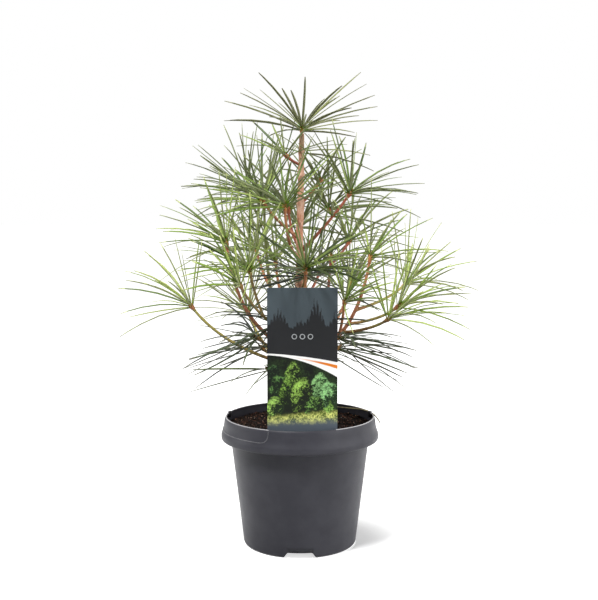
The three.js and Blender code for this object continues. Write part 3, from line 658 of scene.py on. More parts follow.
def stake_shape():
    """Level rings from the point up, each a rectangle whose half width grows up to the soil."""
    height = np.array([STAKE_END, SOIL_TOP, CARD_BOTTOM + 1])[:, None]
    half = np.array([STAKE_POINT, STAKE_WIDTH, STAKE_WIDTH])[:, None] / 2
    x = CARD_CENTRE + half * np.array([-1, 1, 1, -1])
    y = CARD_FRONT + (CARD_THICK - STAKE_THICK) / 2 + STAKE_THICK * np.array([0, 0, 1, 1])
    return np.stack(np.broadcast_arrays(x, y, height), -1)[None]


card_finish = Finish("card_print", Specular_IOR_Level=0.14)
across = card_finish.axis("X") - CARD_CENTRE
upward = card_finish.axis("Z") - CARD_BOTTOM
share = (across + CARD_WIDTH / 2) / CARD_WIDTH
squared = share * share


def below(line):
    """1 below a line on the card and 0 above it, with an edge as sharp as print."""
    return 1 - (upward - line).ramp(-LINE_EDGE, LINE_EDGE)


def bell(middle, width):
    """1 at a place across the card, eased down to 0 at the width on both sides of it."""
    return 1 - abs(across - middle).ramp(0, width)


leaves = card_finish.noise(560, 4, 0.75)
clumps = card_finish.noise(120, 3, 0.6)
drift = (clumps - 0.5) * 26 + (leaves - 0.5) * 10
# The tufts of the dark reeds: the middle, the half width and the height of each.
TUFTS = ((-26, 17, 26), (15, 15, 36), (37, 12, 22), (-3, 12, 12))
blades = (across * 1.7 + clumps * 9).math("SINE") * 0.3 + (across * 3.9 + 1).math("SINE") * 0.2 + 0.5
tufts = sum(bell(middle, width) * height for middle, width, height in TUFTS)
reeds = tufts * (blades * 0.6 + 0.4) + (across / 9).math("SINE") * 1.5 + 124
slate = upward.ramp(120, 168).mix((70, 79, 85), (78, 88, 94))
ink = below(reeds).mix(slate, (36, 37, 39))
picture = (leaves + clumps).ramp(0.85, 1.35).mix((6, 10, 6), (40, 56, 30))
# Each shrub: its middle, half its width and height, its leaves in shade and in light, and how much of
# it the light reaches.
SHRUBS = (
    (-31, 72, 9, 14, (12, 22, 12), (109, 157, 95), -0.08),
    (-24, 58, 12, 16, (14, 26, 12), (123, 175, 95), 0),
    (21, 60, 10, 15, (20, 38, 18), (155, 210, 134), 0.08),
    (31, 52, 10, 14, (18, 36, 16), (158, 216, 141), 0.08),
    (-9, 68, 10, 19, (10, 20, 6), (161, 206, 95), 0),
    (-14, 50, 12, 20, (10, 20, 6), (149, 197, 85), -0.04),
    (0, 46, 13, 22, (10, 18, 6), (171, 216, 100), 0.04),
    (16, 36, 12, 13, (14, 26, 10), (139, 190, 95), 0),
    (-31, 34, 10, 12, (18, 32, 14), (175, 221, 108), 0.08),
    (32, 31, 9, 9, (16, 30, 12), (147, 197, 91), 0.04),
)
for middle, height, half_width, half_height, shade, light, lift in SHRUBS:
    aside = (across - middle + drift * 0.6) / half_width
    over = (upward - height + drift) / half_height
    shrub = 1 - (aside * aside + over * over).ramp(0.75, 1.2)
    lit = (leaves * 1.3 + clumps * 0.7 + over * 0.2 - aside * 0.12 + lift).ramp(1.02, 1.4)
    picture = shrub.mix(picture, lit.mix(shade, light))
bed = 1 - (upward + drift * 0.5 - share * 7).ramp(22, 28)
bed_light = (leaves * 1.3 + clumps * 0.8).ramp(0.85, 1.3)
picture = bed.mix(picture, bed_light.mix((66, 84, 26), (236, 240, 138)))
fade = 1 - (upward + drift * 0.25 - share * 3).ramp(13, 25)
picture = fade.mix(picture, (80, 88, 97))
# The white sweep between the slate and the picture, with an orange ribbon along its top.
sweep_top = share * -4 - squared * 6 + 97
sweep_foot = share * -3 - squared * 22 + 95
ribbon_top = share * -6 - squared * 6 + 95.6
ribbon = below(ribbon_top) * (1 - below(ribbon_top - squared * 4)) * share.ramp(0.3, 0.8)
ink = below(sweep_top).mix(ink, (254, 254, 252))
ink = ribbon.mix(ink, (228, 128, 40))
ink = below(sweep_foot).mix(ink, picture)
RINGS = {"places": (-9, 0, 9), "height": 116, "radius": 2.6}
for middle in RINGS["places"]:
    ring = card_finish.node("ShaderNodeCombineXYZ", {}, {0: across - middle, 1: upward - RINGS["height"]})
    from_line = abs(card_finish.length(ring) - RINGS["radius"])
    ink = (1 - from_line.ramp(0.25, 0.55)).mix(ink, (186, 190, 192))
on_front = 1 - card_finish.axis("Y").ramp(CARD_FRONT + 0.2, CARD_FRONT + 0.3)
blank = card_finish.noise(60).mix((226, 226, 222), (238, 238, 234))
card_finish.feed("Base Color", on_front.mix(blank, ink))
card_finish.feed("Roughness", card_finish.noise(120) * 0.1 + 0.34)
card_parts = together(closed_by_middles(card_shape()), closed_by_middles(stake_shape()))
card = add_piece("printed_card", "card_print", ["plant_card"], card_parts, [card_finish])
card.data.shade_flat()


# Trunk
# One slender stem, which swells where each year's growth ended and flares into its root. The bark
# is thin and salmon brown. It flakes off in small plates, and is still olive under the top whorl.
TRUNK_TOP = 486
TRUNK_FOOT_RADIUS = 7
TRUNK_TOP_RADIUS = 3
ROOT_FLARE = 3.6
FLARE_HEIGHT = 9
RING_HEIGHTS = np.array([192, 238, 345, 406, 440, 467])
RING_SWELL = 0.9
RING_SPREAD = 3.5
TRUNK_LEAN = np.array([
    (139, 0, 0), (240, -0.8, 1), (322, -0.8, -0.6), (345, 1.2, 0.4),
    (365, -0.8, 0.6), (400, 0.8, 0), (440, 1.4, -0.4), (486, 2.2, 0),
])
TRUNK_COLUMNS = 32
TRUNK_ROWS = 520
BEND_REACH = 9
# The root's lobes, with their turn in radians.
LOBES = {"count": 3, "height": 0.9, "turn": 0.7, "fade": 7}
YOUNG_BARK = {"from": 430, "to": 470, "smoother": 0.75}
FLAKE = {"depth": 0.34, "size": 4.2, "finer": 2.3, "tall": 2.2, "plates": 2.6, "edge": 0.3, "gain": 1.2}
TRUNK_SINK = 0.1


def trunk_radius(height):
    """An even taper, a flare that dies away above the soil, and a bell-shaped swelling at each year."""
    rise = (height - SOIL_TOP) / (TRUNK_TOP - SOIL_TOP)
    plain = TRUNK_FOOT_RADIUS + (TRUNK_TOP_RADIUS - TRUNK_FOOT_RADIUS) * rise
    flare = ROOT_FLARE * np.exp(-(height - SOIL_TOP) / FLARE_HEIGHT)
    rings = np.exp(-((height[..., None] - RING_HEIGHTS) / RING_SPREAD) ** 2).sum(axis=-1)
    return plain + flare + RING_SWELL * rings


def trunk_centre(height):
    """The middle of the trunk at a height: straight lines between the nodes of its lean."""
    height = np.asarray(height, float)
    x = np.interp(height, TRUNK_LEAN[:, 0], TRUNK_LEAN[:, 1])
    y = np.interp(height, TRUNK_LEAN[:, 0], TRUNK_LEAN[:, 2])
    return np.stack([x, y, height], -1)


def flakes(points):
    """Plates of bark as a height from -1 to 1: smooth noise, longer up the stem than round it, cut
    into steps whose edges are short ramps."""
    long = points / (1, 1, FLAKE["tall"])
    finer = lumps(long, FLAKE["size"] / FLAKE["finer"], 6)
    level = (lumps(long, FLAKE["size"], 5) + 0.5 * finer) * FLAKE["plates"]
    step = np.floor(level)
    return np.clip((step + eased(level - step, 0, FLAKE["edge"])) / FLAKE["plates"] * FLAKE["gain"], -1, 1)


def trunk_rings():
    """Rings up the trunk, their middles eased along the lean. Each point is moved out by the flakes, and
    near the soil by three lobes, which are the cosine of three times the turn and die away upwards."""
    height = np.linspace(SOIL_TOP - 6, TRUNK_TOP + 1, TRUNK_ROWS)[:, None]
    centre = trunk_centre(height + np.linspace(-BEND_REACH, BEND_REACH, 13)).mean(axis=1)
    turn = circle(TRUNK_COLUMNS)
    outward = around(1, turn, 0)
    smooth = centre[:, None] + outward * trunk_radius(height)[..., None]
    relief = flakes(smooth)
    lobes = np.cos(LOBES["count"] * turn + LOBES["turn"]) * np.exp(-(height - SOIL_TOP) / LOBES["fade"])
    young = 1 - YOUNG_BARK["smoother"] * eased(height, YOUNG_BARK["from"], YOUNG_BARK["to"])
    moved = relief * FLAKE["depth"] * young + LOBES["height"] * lobes - TRUNK_SINK
    return smooth + outward * moved[..., None], relief


def bark_finish(name, plates, crevice, pale, rough=0.82):
    """Flaking bark: plates and paler patches in long streaks, darker where the relief is low."""
    finish = Finish(name, Specular_IOR_Level=0.3)
    streak = finish.noise(260, 3, 0.6, 0.3).ramp(0.35, 0.68)
    fleck = finish.noise(900, 3, 0.7, 0.6).ramp(0.55, 0.72) * 0.7
    skin = fleck.mix(streak.mix(plates, pale), crevice)
    low = 1 - finish.stored("relief").ramp(-0.65, 0.05)
    finish.feed("Roughness", finish.noise(500) * 0.2 + (rough - 0.1))
    finish.bump(finish.noise(1400, 3, 0.6, 0.5), 0.0002)
    return finish, (low * 0.75).mix(skin, crevice)


trunk_finish, bark = bark_finish("salmon_bark", (212, 150, 120), (134, 88, 68), (238, 196, 172))
height = trunk_finish.axis("Z")
olive = (height + trunk_finish.noise(120) * 20).ramp(TRUNK_TOP - 24, TRUNK_TOP)
bark = (olive * 0.7).mix(bark, (114, 100, 66))
damp = 1 - height.ramp(SOIL_TOP - 2, SOIL_TOP + 13)
trunk_finish.feed("Base Color", (damp * 0.6).mix(bark, (84, 58, 44)))
rings, relief = trunk_rings()
add_piece("trunk_bark", "trunk_bark", ["trunk"], closed_by_middles(rings[None]), [trunk_finish],
          attributes={"relief": np.append(relief, [0, 0])})


# Boughs
# Limbs of two to six years, a few millimetres thick. They grow out of the trunk and turn up towards
# the light. Their bark is smooth and orange to red brown, and green to yellow on the youngest.
BOUGH_TIP = 1.6
FOOT_SWELL = 0.5
FOOT_SWELL_LENGTH = 7
STEM_LENGTH = 12
BOUGH_ROWS = 110
BOUGH_COLUMNS = 16
BARK_RELIEF = 0.07
BOUGH_SINK = 0.03
SCARS = {"every": 19, "first": 9, "width": 0.9, "height": 0.09}
END_RING = 0.75
# Each shoot: the height where it leaves the trunk, or the share of the bough that carries it; the
# compass angle, reach and height of its end; its bow; the radius of its foot, which is 0 where a whorl
# stands on a short stem without a bough; its tone and its bark.
SHOOT_KEYS = ("name", "foot", "angle", "reach", "height", "bow", "thick", "tone", "bark")
SHOOTS = (
    ("upper_right", 350, -8, 59, 418, 0.1, 2.5, "upper", "red"),
    ("upper_front", 341, -117, 38, 403, 0.75, 2.1, "upper", "orange"),
    ("upper_left", 366, -162, 46, 410, 0.2, 1.9, "upper", "orange"),
    ("tall_left", 240, 149, 50, 405, 0.9, 2.6, "upper", "green"),
    ("mid_left", 232, -165, 88, 361, 0.7, 2.7, "mid", "orange"),
    ("mid_back_left", 272, 133, 79, 350, 0.5, 2.3, "mid", "orange"),
    ("mid_front_left", 248, -124, 117, 318, 0.35, 2.4, "mid", "olive"),
    ("front", 242, -84, 62, 333, 0.7, 2.4, "deep", "orange"),
    ("mid_back_right", 240, 39, 48, 342, 0.85, 2.4, "mid", "red"),
    ("mid_right", 220, -19, 86, 345, 0.65, 2.9, "mid", "orange"),
    ("far_right", 0.6, 5, 127, 311, 0.35, 1.8, "fresh", "yellow"),
    ("low_right", 0.48, -25, 123, 290, 0.4, 1.7, "fresh", "yellow"),
    ("low_front_right", 0.4, -33, 119, 277, 0.35, 1.8, "fresh", "olive"),
    ("far_left", 212, -168, 129, 288, 0.4, 2.2, "lime", "yellow"),
    ("low_left", 187, -150, 42, 212, 0.2, 1.8, "dusk", "olive"),
    ("back_left", 256, 108, 100, 332, 0.6, 2.5, "mid", "orange"),
    ("back", 286, 75, 93, 317, 0.3, 2.2, "deep", "red"),
    ("back_right", 224, 55, 114, 305, 0.5, 2.5, "fresh", "orange"),
    ("low_back_left", 199, 128, 107, 269, 0.4, 2.3, "lime", "yellow"),
    ("upper_back", 302, 90, 62, 379, 0.6, 2.2, "upper", "orange"),
    ("low_back", 194, 90, 125, 280, 0.4, 2.4, "mid", "olive"),
    ("top_left", 451, -153, 18, 462, 0.2, 0, "upper", "red"),
    ("top_right", 406, 39, 32, 434, 0.1, 0, "upper", "red"),
    ("upper_back_left", 354, 125, 24, 400, 0.5, 0, "upper", "red"),
    ("front_right", 0.36, -51, 80, 296, 0.3, 0, "mid", "orange"),
    ("old_left", 206, 154, 51, 232, 0.2, 0, "old", "olive"),
    ("old_right", 207, 24, 50, 232, 0.2, 0, "old", "olive"),
    ("old_front", 226, -100, 49, 271, 0.3, 0, "old", "olive"),
    ("old_front_left", 221, -146, 60, 252, 0.2, 0, "old", "olive"),
    ("old_low_right", 238, -36, 54, 251, 0.2, 0, "old", "olive"),
    ("old_front_right", 224, -64, 49, 244, 0.2, 0, "old", "olive"),
    ("old_centre", 300, -70, 20, 322, 0.2, 0, "old", "olive"),
)
# What some shoots have besides: the share of the limb that is bare, the kind of whorl, forks at its end
# with their angle, reach and height, a whorl round its stem, or the bough that carries it.
MORE = {
    "upper_right": dict(share=0.6, collar="sparse", forks=((40, 46, 399),)),
    "tall_left": dict(share=0.84, forks=((138, 87, 422),)),
    "mid_front_left": dict(share=0.55, whorl="small", forks=((-138, 77, 331),)),
    "mid_back_right": dict(whorl="sparse", forks=((38, 77, 361),)),
    "far_right": dict(on="mid_right"),
    "low_right": dict(on="mid_right"),
    "low_front_right": dict(on="mid_right"),
    "low_left": dict(whorl="old"),
    "top_left": dict(whorl="small"),
    "top_right": dict(whorl="small"),
    "front_right": dict(on="mid_right", whorl="small"),
}
LIMB_STEPS = 200


class Limb:
    """A cubic Bezier curve from start to end that grows out first and then turns up, the more so the
    larger its bow. A place on it is the share of its length, from many straight steps."""

    def __init__(self, start, end, bow):
        out = (end - start) * (1, 1, 0)
        rise = (end - start) * (0, 0, 1)
        first = start + out * (1 + bow) / 3 + rise * (1 - bow) / 3
        second = start + out * (2 + bow) / 3 + rise * (2 - bow) / 3
        self.controls = np.array([start, first, second, end])
        steps = np.linalg.norm(np.diff(stretch(self.controls, LIMB_STEPS), axis=0), axis=1)
        self.lengths = np.concatenate([[0], np.cumsum(steps)])
        self.length = self.lengths[-1]
        beside = np.array([start[1] - end[1], end[0] - start[0], 0])
        self.across = unit(beside) if beside.any() else np.array([1.0, 0, 0])

    def parameter(self, share):
        """The curve's t at a share of its length."""
        return np.interp(np.asarray(share) * self.length, self.lengths, np.linspace(0, 1, LIMB_STEPS + 1))

    def point(self, share):
        """The point at a share of the length."""
        return bezier(self.controls, self.parameter(share))

    def direction(self, share):
        """The way that the limb grows at a share of the length."""
        return unit(bezier(np.diff(self.controls, axis=0), self.parameter(share)))


def compass(angle, reach, height):
    """The point at a compass angle and reach from the origin's axis, at a height."""
    return around(reach, np.radians(angle), height)


def limb_rings(centre, along, across, radius, columns):
    """Rings round the points of a line: each lies square to the line, with its own radius."""
    directions = spokes(across, unit(np.cross(along, across)), columns)
    return centre[:, None] + directions * radius[:, None, None], directions


def bough_shape(limb, share, thick):
    """Rings along the bare part of a limb. The radius tapers evenly from a swollen foot, and the bark
    moves it by small lumps and by a low ridge at each ring of old leaf scars."""
    end = share + 1 / limb.length
    along = np.linspace(0, end, BOUGH_ROWS)
    run = along / share
    taper = thick + (BOUGH_TIP - thick) * np.minimum(run, 1)
    radius = taper * (1 + FOOT_SWELL * np.exp(-along * limb.length / FOOT_SWELL_LENGTH))
    rings, directions = limb_rings(limb.point(along), limb.direction(along), limb.across, radius,
                                   BOUGH_COLUMNS)
    relief = 0.6 * lumps(rings, 3.1, 8) + 0.5 * lumps(rings, 1.5, 9)
    from_scar = (along * limb.length + SCARS["first"]) % SCARS["every"] - SCARS["every"] / 2
    scars = np.exp(-(from_scar / SCARS["width"]) ** 2)[:, None]
    moved = (relief * BARK_RELIEF + scars * SCARS["height"]) * taper[:, None] - BOUGH_SINK
    middle = rings.mean(axis=1, keepdims=True)
    shaped = rings + directions * moved[..., None]
    shaped[-1] = middle[-1] + (shaped[-1] - middle[-1]) * END_RING
    relief = np.append(np.clip(relief, -1, 1), [0, 0])
    return shaped[None], relief, np.append(np.repeat(np.minimum(run, 1), BOUGH_COLUMNS), [0, 1])


# Each bark: its plates, crevices and pale patches, and what the tip and the middle turn to.
BARKS = {
    "orange": ((172, 110, 80), (106, 64, 46), (204, 150, 118), (190, 130, 88), (172, 112, 80)),
    "red": ((150, 82, 64), (90, 48, 38), (188, 122, 98), (176, 104, 78), (152, 86, 68)),
    "green": ((146, 92, 70), (92, 56, 44), (174, 124, 98), (116, 130, 72), (120, 128, 76)),
    "olive": ((126, 100, 62), (76, 56, 38), (154, 132, 88), (130, 130, 68), (146, 110, 66)),
    "yellow": ((160, 110, 72), (104, 70, 46), (184, 148, 98), (168, 160, 86), (166, 158, 86)),
}


def bough_finish(name):
    """The bark of one kind of bough, from its foot's colour to its middle's and its tip's."""
    plates, crevice, pale, tip, middle = BARKS[name]
    finish, skin = bark_finish(f"{name}_bark", plates, crevice, pale, 0.7)
    run = finish.stored("run") + (finish.noise(70) * 0.3 - 0.15)
    skin = (run.ramp(0.1, 0.5) * 0.75).mix(skin, middle)
    finish.feed("Base Color", (run.ramp(0.6, 1) * 0.8).mix(skin, tip))
    return finish


bough_finishes = {name: bough_finish(name) for name in BARKS}
shoots = [dict(zip(SHOOT_KEYS, row), **MORE.get(row[0], {})) for row in SHOOTS]
limbs = {}
for shoot in shoots:
    carrier = limbs.get(shoot.get("on"))
    start = carrier.point(shoot["foot"]) if carrier else trunk_centre(shoot["foot"])
    limb = Limb(start, compass(shoot["angle"], shoot["reach"], shoot["height"]), shoot["bow"])
    limbs[shoot["name"]] = limb
    limb.share = shoot.get("share", 1 - STEM_LENGTH / limb.length) if shoot["thick"] else 0
    if limb.share > 0:
        shape, relief, run = bough_shape(limb, limb.share, shoot["thick"])
        add_piece(f"bark_of_{shoot['name']}", "bough_bark", [f"bough_{shoot['name']}"],
                  closed_by_middles(shape), [bough_finishes[shoot["bark"]]],
                  attributes={"relief": relief, "run": run})


# Twigs
# The youngest growth: a thin stem that swells into an orange hub, where the whorl of needles stands,
# and ends in a resting bud of brown scales.
STEM_RADIUS = 1.5
STEM_FOOT_SWELL = 0.4
CLEAR = 0.3
FORK_ABOVE = 2.5
FORK_BOW = 0.2
HUB_LENGTH = 7
HUB_SHOULDER = 0.4
LEADER_LENGTH = 7
LEADER_LEAN = 0.2
COLLAR_HEIGHT = 467
COLLAR_ROOT = 5.3
TWIG_COLUMNS = 12
TWIG_ROUGH = 0.12
LEAST_STEM = 0.35
# The hub and the bud: places along them, and radii as shares of the stem's.
HUB_PROFILE = np.array([
    (-10, 1), (-7.5, 1.12), (-5, 1.32), (-3.4, 1.6), (-2.4, 1.78), (-1, 1.86), (0.6, 1.84), (2, 1.7),
    (3, 1.4), (3.8, 1.12), (4.6, 1.04), (5.4, 0.86), (6, 0.6), (6.6, 0.34), (6.95, 0.12),
])
STEM_ROWS = 14
HUB_FROM = -7
BUD_FROM = 3


def twig_shape(limb, start, foot_radius):
    """Rings along a twig: the stem from its foot to where the hub begins to swell, and then the hub's
    and the bud's profile along the end's direction."""
    length = limb.length
    stop = max(1 + HUB_PROFILE[0, 0] / length, start + LEAST_STEM * (1 - start))
    share = np.linspace(start, stop, STEM_ROWS, endpoint=False)
    stem_radius = foot_radius + (STEM_RADIUS - foot_radius) * np.linspace(0, 1, STEM_ROWS, endpoint=False)
    beyond = HUB_PROFILE[:, 0] / length
    hub_share = np.where(beyond < 0, np.maximum(1 + beyond, stop + 0.01 * np.arange(len(beyond)) / length), 1)
    centre = np.concatenate([limb.point(share), limb.point(hub_share)])
    along = np.concatenate([limb.direction(share), limb.direction(hub_share)])
    centre[STEM_ROWS:] += along[STEM_ROWS:] * np.maximum(HUB_PROFILE[:, :1], 0)
    radius = np.concatenate([stem_radius, HUB_PROFILE[:, 1] * STEM_RADIUS])
    rings, directions = limb_rings(centre, along, limb.across, radius, TWIG_COLUMNS)
    rough = TWIG_ROUGH * lumps(rings, 1.4, 12) * (radius / STEM_RADIUS)[:, None]
    return rings + directions * rough[..., None]


twigs = []
whorls = []


def add_twig(mass, limb, start, foot_radius, bark):
    """Notes a twig that belongs to a mass of needles."""
    twigs.append({"mass": mass, "bark": bark, "rings": twig_shape(limb, start, foot_radius),
                  "limb": limb, "start": start})


def add_whorl(mass, limb, at, kind, angle, reach, tone):
    """Notes a whorl of needles round a limb, at a share of its length."""
    whorls.append({"mass": mass, "hub": limb.point(at), "along": limb.direction(at), "kind": kind,
                   "angle": angle, "reach": reach, "tone": tone, "collar": None})


tip = trunk_centre(TRUNK_TOP)
leader = Limb(tip + (0, 0, CLEAR), tip + (LEADER_LEAN, 0, LEADER_LENGTH), 0)
leader.across = np.array([1.0, 0, 0])
add_twig("needles_leader", leader, 0, TRUNK_TOP_RADIUS, "orange")
add_whorl("needles_leader", leader, 1, "leader", 0, 0, "leader")
collar_line = Limb(trunk_centre(COLLAR_HEIGHT), trunk_centre(COLLAR_HEIGHT) + (0, 0, 1), 0)
add_whorl("needles_collar", collar_line, 0, "sparse", 0, 0, "leader")
whorls[-1]["collar"] = COLLAR_ROOT
for shoot in shoots:
    mass = f"needles_{shoot['name']}"
    limb = limbs[shoot["name"]]
    bark = shoot["bark"]
    tone = shoot["tone"]
    kind = shoot.get("whorl", "old" if tone == "old" else "fresh")
    stem_from = limb.share + CLEAR / limb.length if limb.share > 0 else 0
    add_twig(mass, limb, stem_from, BOUGH_TIP if limb.share > 0 else STEM_RADIUS + STEM_FOOT_SWELL, bark)
    add_whorl(mass, limb, 1, kind, shoot["angle"], shoot["reach"], tone)
    fork_at = stem_from + FORK_ABOVE / limb.length
    for angle, reach, height in shoot.get("forks", ()):
        fork = Limb(limb.point(fork_at), compass(angle, reach, height), FORK_BOW)
        add_twig(mass, fork, 0, STEM_RADIUS, bark)
        add_whorl(mass, fork, 1, "fresh", angle, reach, tone)
    if "collar" in shoot:
        add_whorl(mass, limb, fork_at, shoot["collar"], shoot["angle"], shoot["reach"], tone)

# The colours of the stem, the hub and the bud.
HUB_COLOURS = {
    "orange": ((184, 122, 86), (192, 128, 76), (130, 88, 52)),
    "red": ((160, 90, 70), (178, 106, 72), (122, 74, 50)),
    "green": ((122, 128, 74), (158, 124, 72), (118, 94, 54)),
    "olive": ((134, 114, 68), (152, 114, 64), (106, 80, 48)),
    "yellow": ((168, 160, 88), (180, 120, 80), (128, 94, 56)),
}
for bark, colours in HUB_COLOURS.items():
    finishes = []
    for part, tint in zip(("stem", "hub", "bud"), colours):
        finish = Finish(f"{bark}_{part}", Base_Color=colour(*tint), Specular_IOR_Level=0.35)
        finish.feed("Roughness", finish.noise(600) * 0.25 + 0.5)
        finish.bump(finish.noise(1100, 3, upright=0.5), 0.00025)
        finishes.append(finish)
    mine = [twig for twig in twigs if twig["bark"] == bark]
    rings = np.stack([twig["rings"] for twig in mine])
    rows = np.arange(rings.shape[1] - 1)
    hub_row = STEM_ROWS + np.searchsorted(HUB_PROFILE[:, 0], HUB_FROM)
    bud_row = STEM_ROWS + np.searchsorted(HUB_PROFILE[:, 0], BUD_FROM)
    part = (rows >= hub_row).astype(int) + (rows >= bud_row)
    quad_parts = np.tile(np.repeat(part, TWIG_COLUMNS), len(mine))
    end_parts = np.tile(np.repeat([0, 2], TWIG_COLUMNS), len(mine))
    add_piece(f"twigs_{bark}", "green_needles", sorted({twig["mass"] for twig in mine}),
              closed_by_middles(rings), finishes, which=np.concatenate([quad_parts, end_parts]))


# Needles
# Each whorl is a ring of long flat needles round its hub, like the ribs of an umbrella. A needle is
# two grown into one: leathery, with a furrow along each side, paler below, and blunt at its tip.
LEAN_BASE = 12
LEAN_PER_REACH = 0.27
INNER_PER_REACH = 0.22
OUTER_PER_REACH = 0.24
DROOP_PER_REACH = 0.0005
AGED_REACH = 0.35
ROOT_WIDTH = 1.1
NEEDLE_WIDTH = 2.8
BEND = 0.56
ARCH = 0.03
SAG = 0.3
NEEDLE_NECK = 0.15
ROOT_OUT = 1
ROOT_ROOM = 0.2
SCATTER_ANGLE = 6
SCATTER_TURN = 11
SCATTER_LENGTH = 0.06
TRIES = 7
PER_TRY = 0.5
GOLDEN_ANGLE = 137.508
# What tells the seeded draws for one needle or whorl apart.
DRAW_TILT, DRAW_TURN, DRAW_LENGTH, DRAW_START, DRAW_ROLL, DRAW_BOW, DRAW_TINT = 1, 2, 3, 7, 8, 9, 10
DRAW_KEPT, DRAW_LIFT = 11, 12
BETWEEN_RADIUS = 0.8
CHECKS = 7
FINER_KEYS = 500
# Each kind of whorl: its needles, their length, the tilt of the inner and the outer ones, how fast the
# tilt grows from the one to the other, and the droop.
WHORLS = {
    "leader": dict(needles=34, length=90, inner=48, outer=94, power=0.9, droop=0.02),
    "fresh": dict(needles=27, length=86, inner=42, outer=90, power=0.75, droop=0.05),
    "small": dict(needles=15, length=62, inner=34, outer=84, power=0.75, droop=0.04),
    "sparse": dict(needles=12, length=82, inner=70, outer=94, power=0.8, droop=0.04),
    "old": dict(needles=20, length=90, inner=66, outer=98, power=0.8, droop=0.12),
}
# The room that needles leave over, before and beside the card, and round and in front of the pot.
CARD_ROOM = {"over": 3, "rise": 0.08, "before": 5, "beside": 3}
POT_ROOM = {"round": 5, "over": 16, "front": -60, "over_front": 35}
# How many of the needles between the source's own are grown, where it isn't all of them.
BETWEEN = {
    "needles_collar": 0, "needles_leader": 0.85, "needles_top_left": 0.3, "needles_top_right": 0.4,
    "needles_mid_right": 0.2, "needles_mid_back_right": 0.6, "needles_far_right": 0.3,
    "needles_low_right": 0.35, "needles_low_front_right": 0.3, "needles_far_left": 0.2,
    "needles_mid_left": 0.6, "needles_old_left": 0.6, "needles_old_right": 0.7,
    "needles_old_front_left": 0.6, "needles_old_low_right": 0.7, "needles_old_front_right": 0.6,
    "needles_low_left": 0.2,
}
# The masses that get a third set of needles, between the first two, and its share.
FINER = {
    "needles_front_right": 1, "needles_mid_front_left": 0.7, "needles_front": 0.5,
    "needles_old_centre": 0.8, "needles_old_low_right": 0.7, "needles_old_front_right": 0.7,
    "needles_old_front_left": 0.6,
}


def seeded(*keys):
    """A repeatable number from 0 to 1 for a set of whole numbers: each key is mixed into a 32-bit
    state by two odd multipliers and two shifts."""
    state = 0x9E3779B9
    for key in keys:
        state = ((state ^ (key + 0x7F4A7C15)) * 0x85EBCA6B) & 0xFFFFFFFF
        state ^= state >> 13
        state = (state * 0xC2B2AE35) & 0xFFFFFFFF
        state ^= state >> 16
    return state / 4294967296


def centred(*keys):
    """A repeatable number from -1 to 1 for a set of whole numbers."""
    return 2 * seeded(*keys) - 1


def settle_whorl(whorl, number):
    """Gives a whorl its number, its frame and its angles. The further it is from the trunk, the more
    it leans out, closes up and droops."""
    whorl.update(WHORLS[whorl["kind"]], number=number)
    aged = whorl["kind"] in ("old", "sparse")
    far = AGED_REACH * whorl["reach"] if aged else whorl["reach"]
    if not aged:
        whorl["inner"] -= INNER_PER_REACH * far
        whorl["outer"] -= OUTER_PER_REACH * far
        whorl["droop"] += DROOP_PER_REACH * far
    lean = np.radians(0 if whorl["kind"] == "leader" else LEAN_BASE + LEAN_PER_REACH * far)
    whorl["axis"] = compass(whorl["angle"], np.sin(lean), np.cos(lean))
    whorl["across"] = compass(whorl["angle"] + 90, 1, 0)
    whorl["up"] = unit(np.cross(whorl["axis"], whorl["across"]))


def needle_line(whorl, k, attempt):
    """Root, bend and tip of one needle: it stands at its tilt from the whorl's axis and at its turn
    round it, arches up to the bend and droops to the tip. Later tries scatter it further. The third
    set's numbers start at FINER_KEYS, and its needles stand half a step past the first two's."""
    number = whorl["number"]
    spread = 1 + PER_TRY * attempt
    step = k if k < FINER_KEYS else k - FINER_KEYS + 0.5
    order = ((step + 0.5) / whorl["needles"]) ** whorl["power"]
    tilt = whorl["inner"] + (whorl["outer"] - whorl["inner"]) * order
    tilt = np.radians(tilt + spread * SCATTER_ANGLE * centred(number, k, attempt, DRAW_TILT))
    turn = GOLDEN_ANGLE * step + 360 * seeded(number, DRAW_START)
    turn = np.radians(turn + spread * SCATTER_TURN * centred(number, k, attempt, DRAW_TURN))
    sideways = np.cos(turn) * whorl["across"] + np.sin(turn) * whorl["up"]
    away = np.sin(tilt) * sideways + np.cos(tilt) * whorl["axis"]
    length = whorl["length"] * (1 + SCATTER_LENGTH * centred(number, k, DRAW_LENGTH))
    spiral = HUB_LENGTH * HUB_SHOULDER * (1 if whorl["collar"] else 2)
    tier = spiral * (0.5 - (step + 0.5) / whorl["needles"])
    root = whorl["hub"] + whorl["along"] * tier + away * (whorl["collar"] or ROOT_OUT)
    level = np.hypot(away[0], away[1])
    bend = root + away * BEND * length + (0, 0, length * (ARCH - SAG * whorl["droop"]) * level)
    tip = root + away * length - (0, 0, length * whorl["droop"] * level)
    return np.array([root, bend, tip])


def gap_between(start, end, starts, ends):
    """The least distance from one straight line to each of many: the shares along both lines where
    they are nearest, held between 0 and 1, and the distance between those two points."""
    one = end - start
    many = ends - starts
    from_many = start - starts
    a = one @ one
    e = np.einsum("ij,ij->i", many, many)
    f = np.einsum("ij,ij->i", many, from_many)
    c = from_many @ one
    b = many @ one
    below = a * e - b * b
    s = np.clip(np.where(below > 1e-9, (b * f - c * e) / np.where(below > 1e-9, below, 1), 0), 0, 1)
    t = np.clip((b * s + f) / e, 0, 1)
    s = np.clip((b * t - c) / a, 0, 1)
    apart = from_many + s[:, None] * one - t[:, None] * many
    return np.linalg.norm(apart, axis=1)


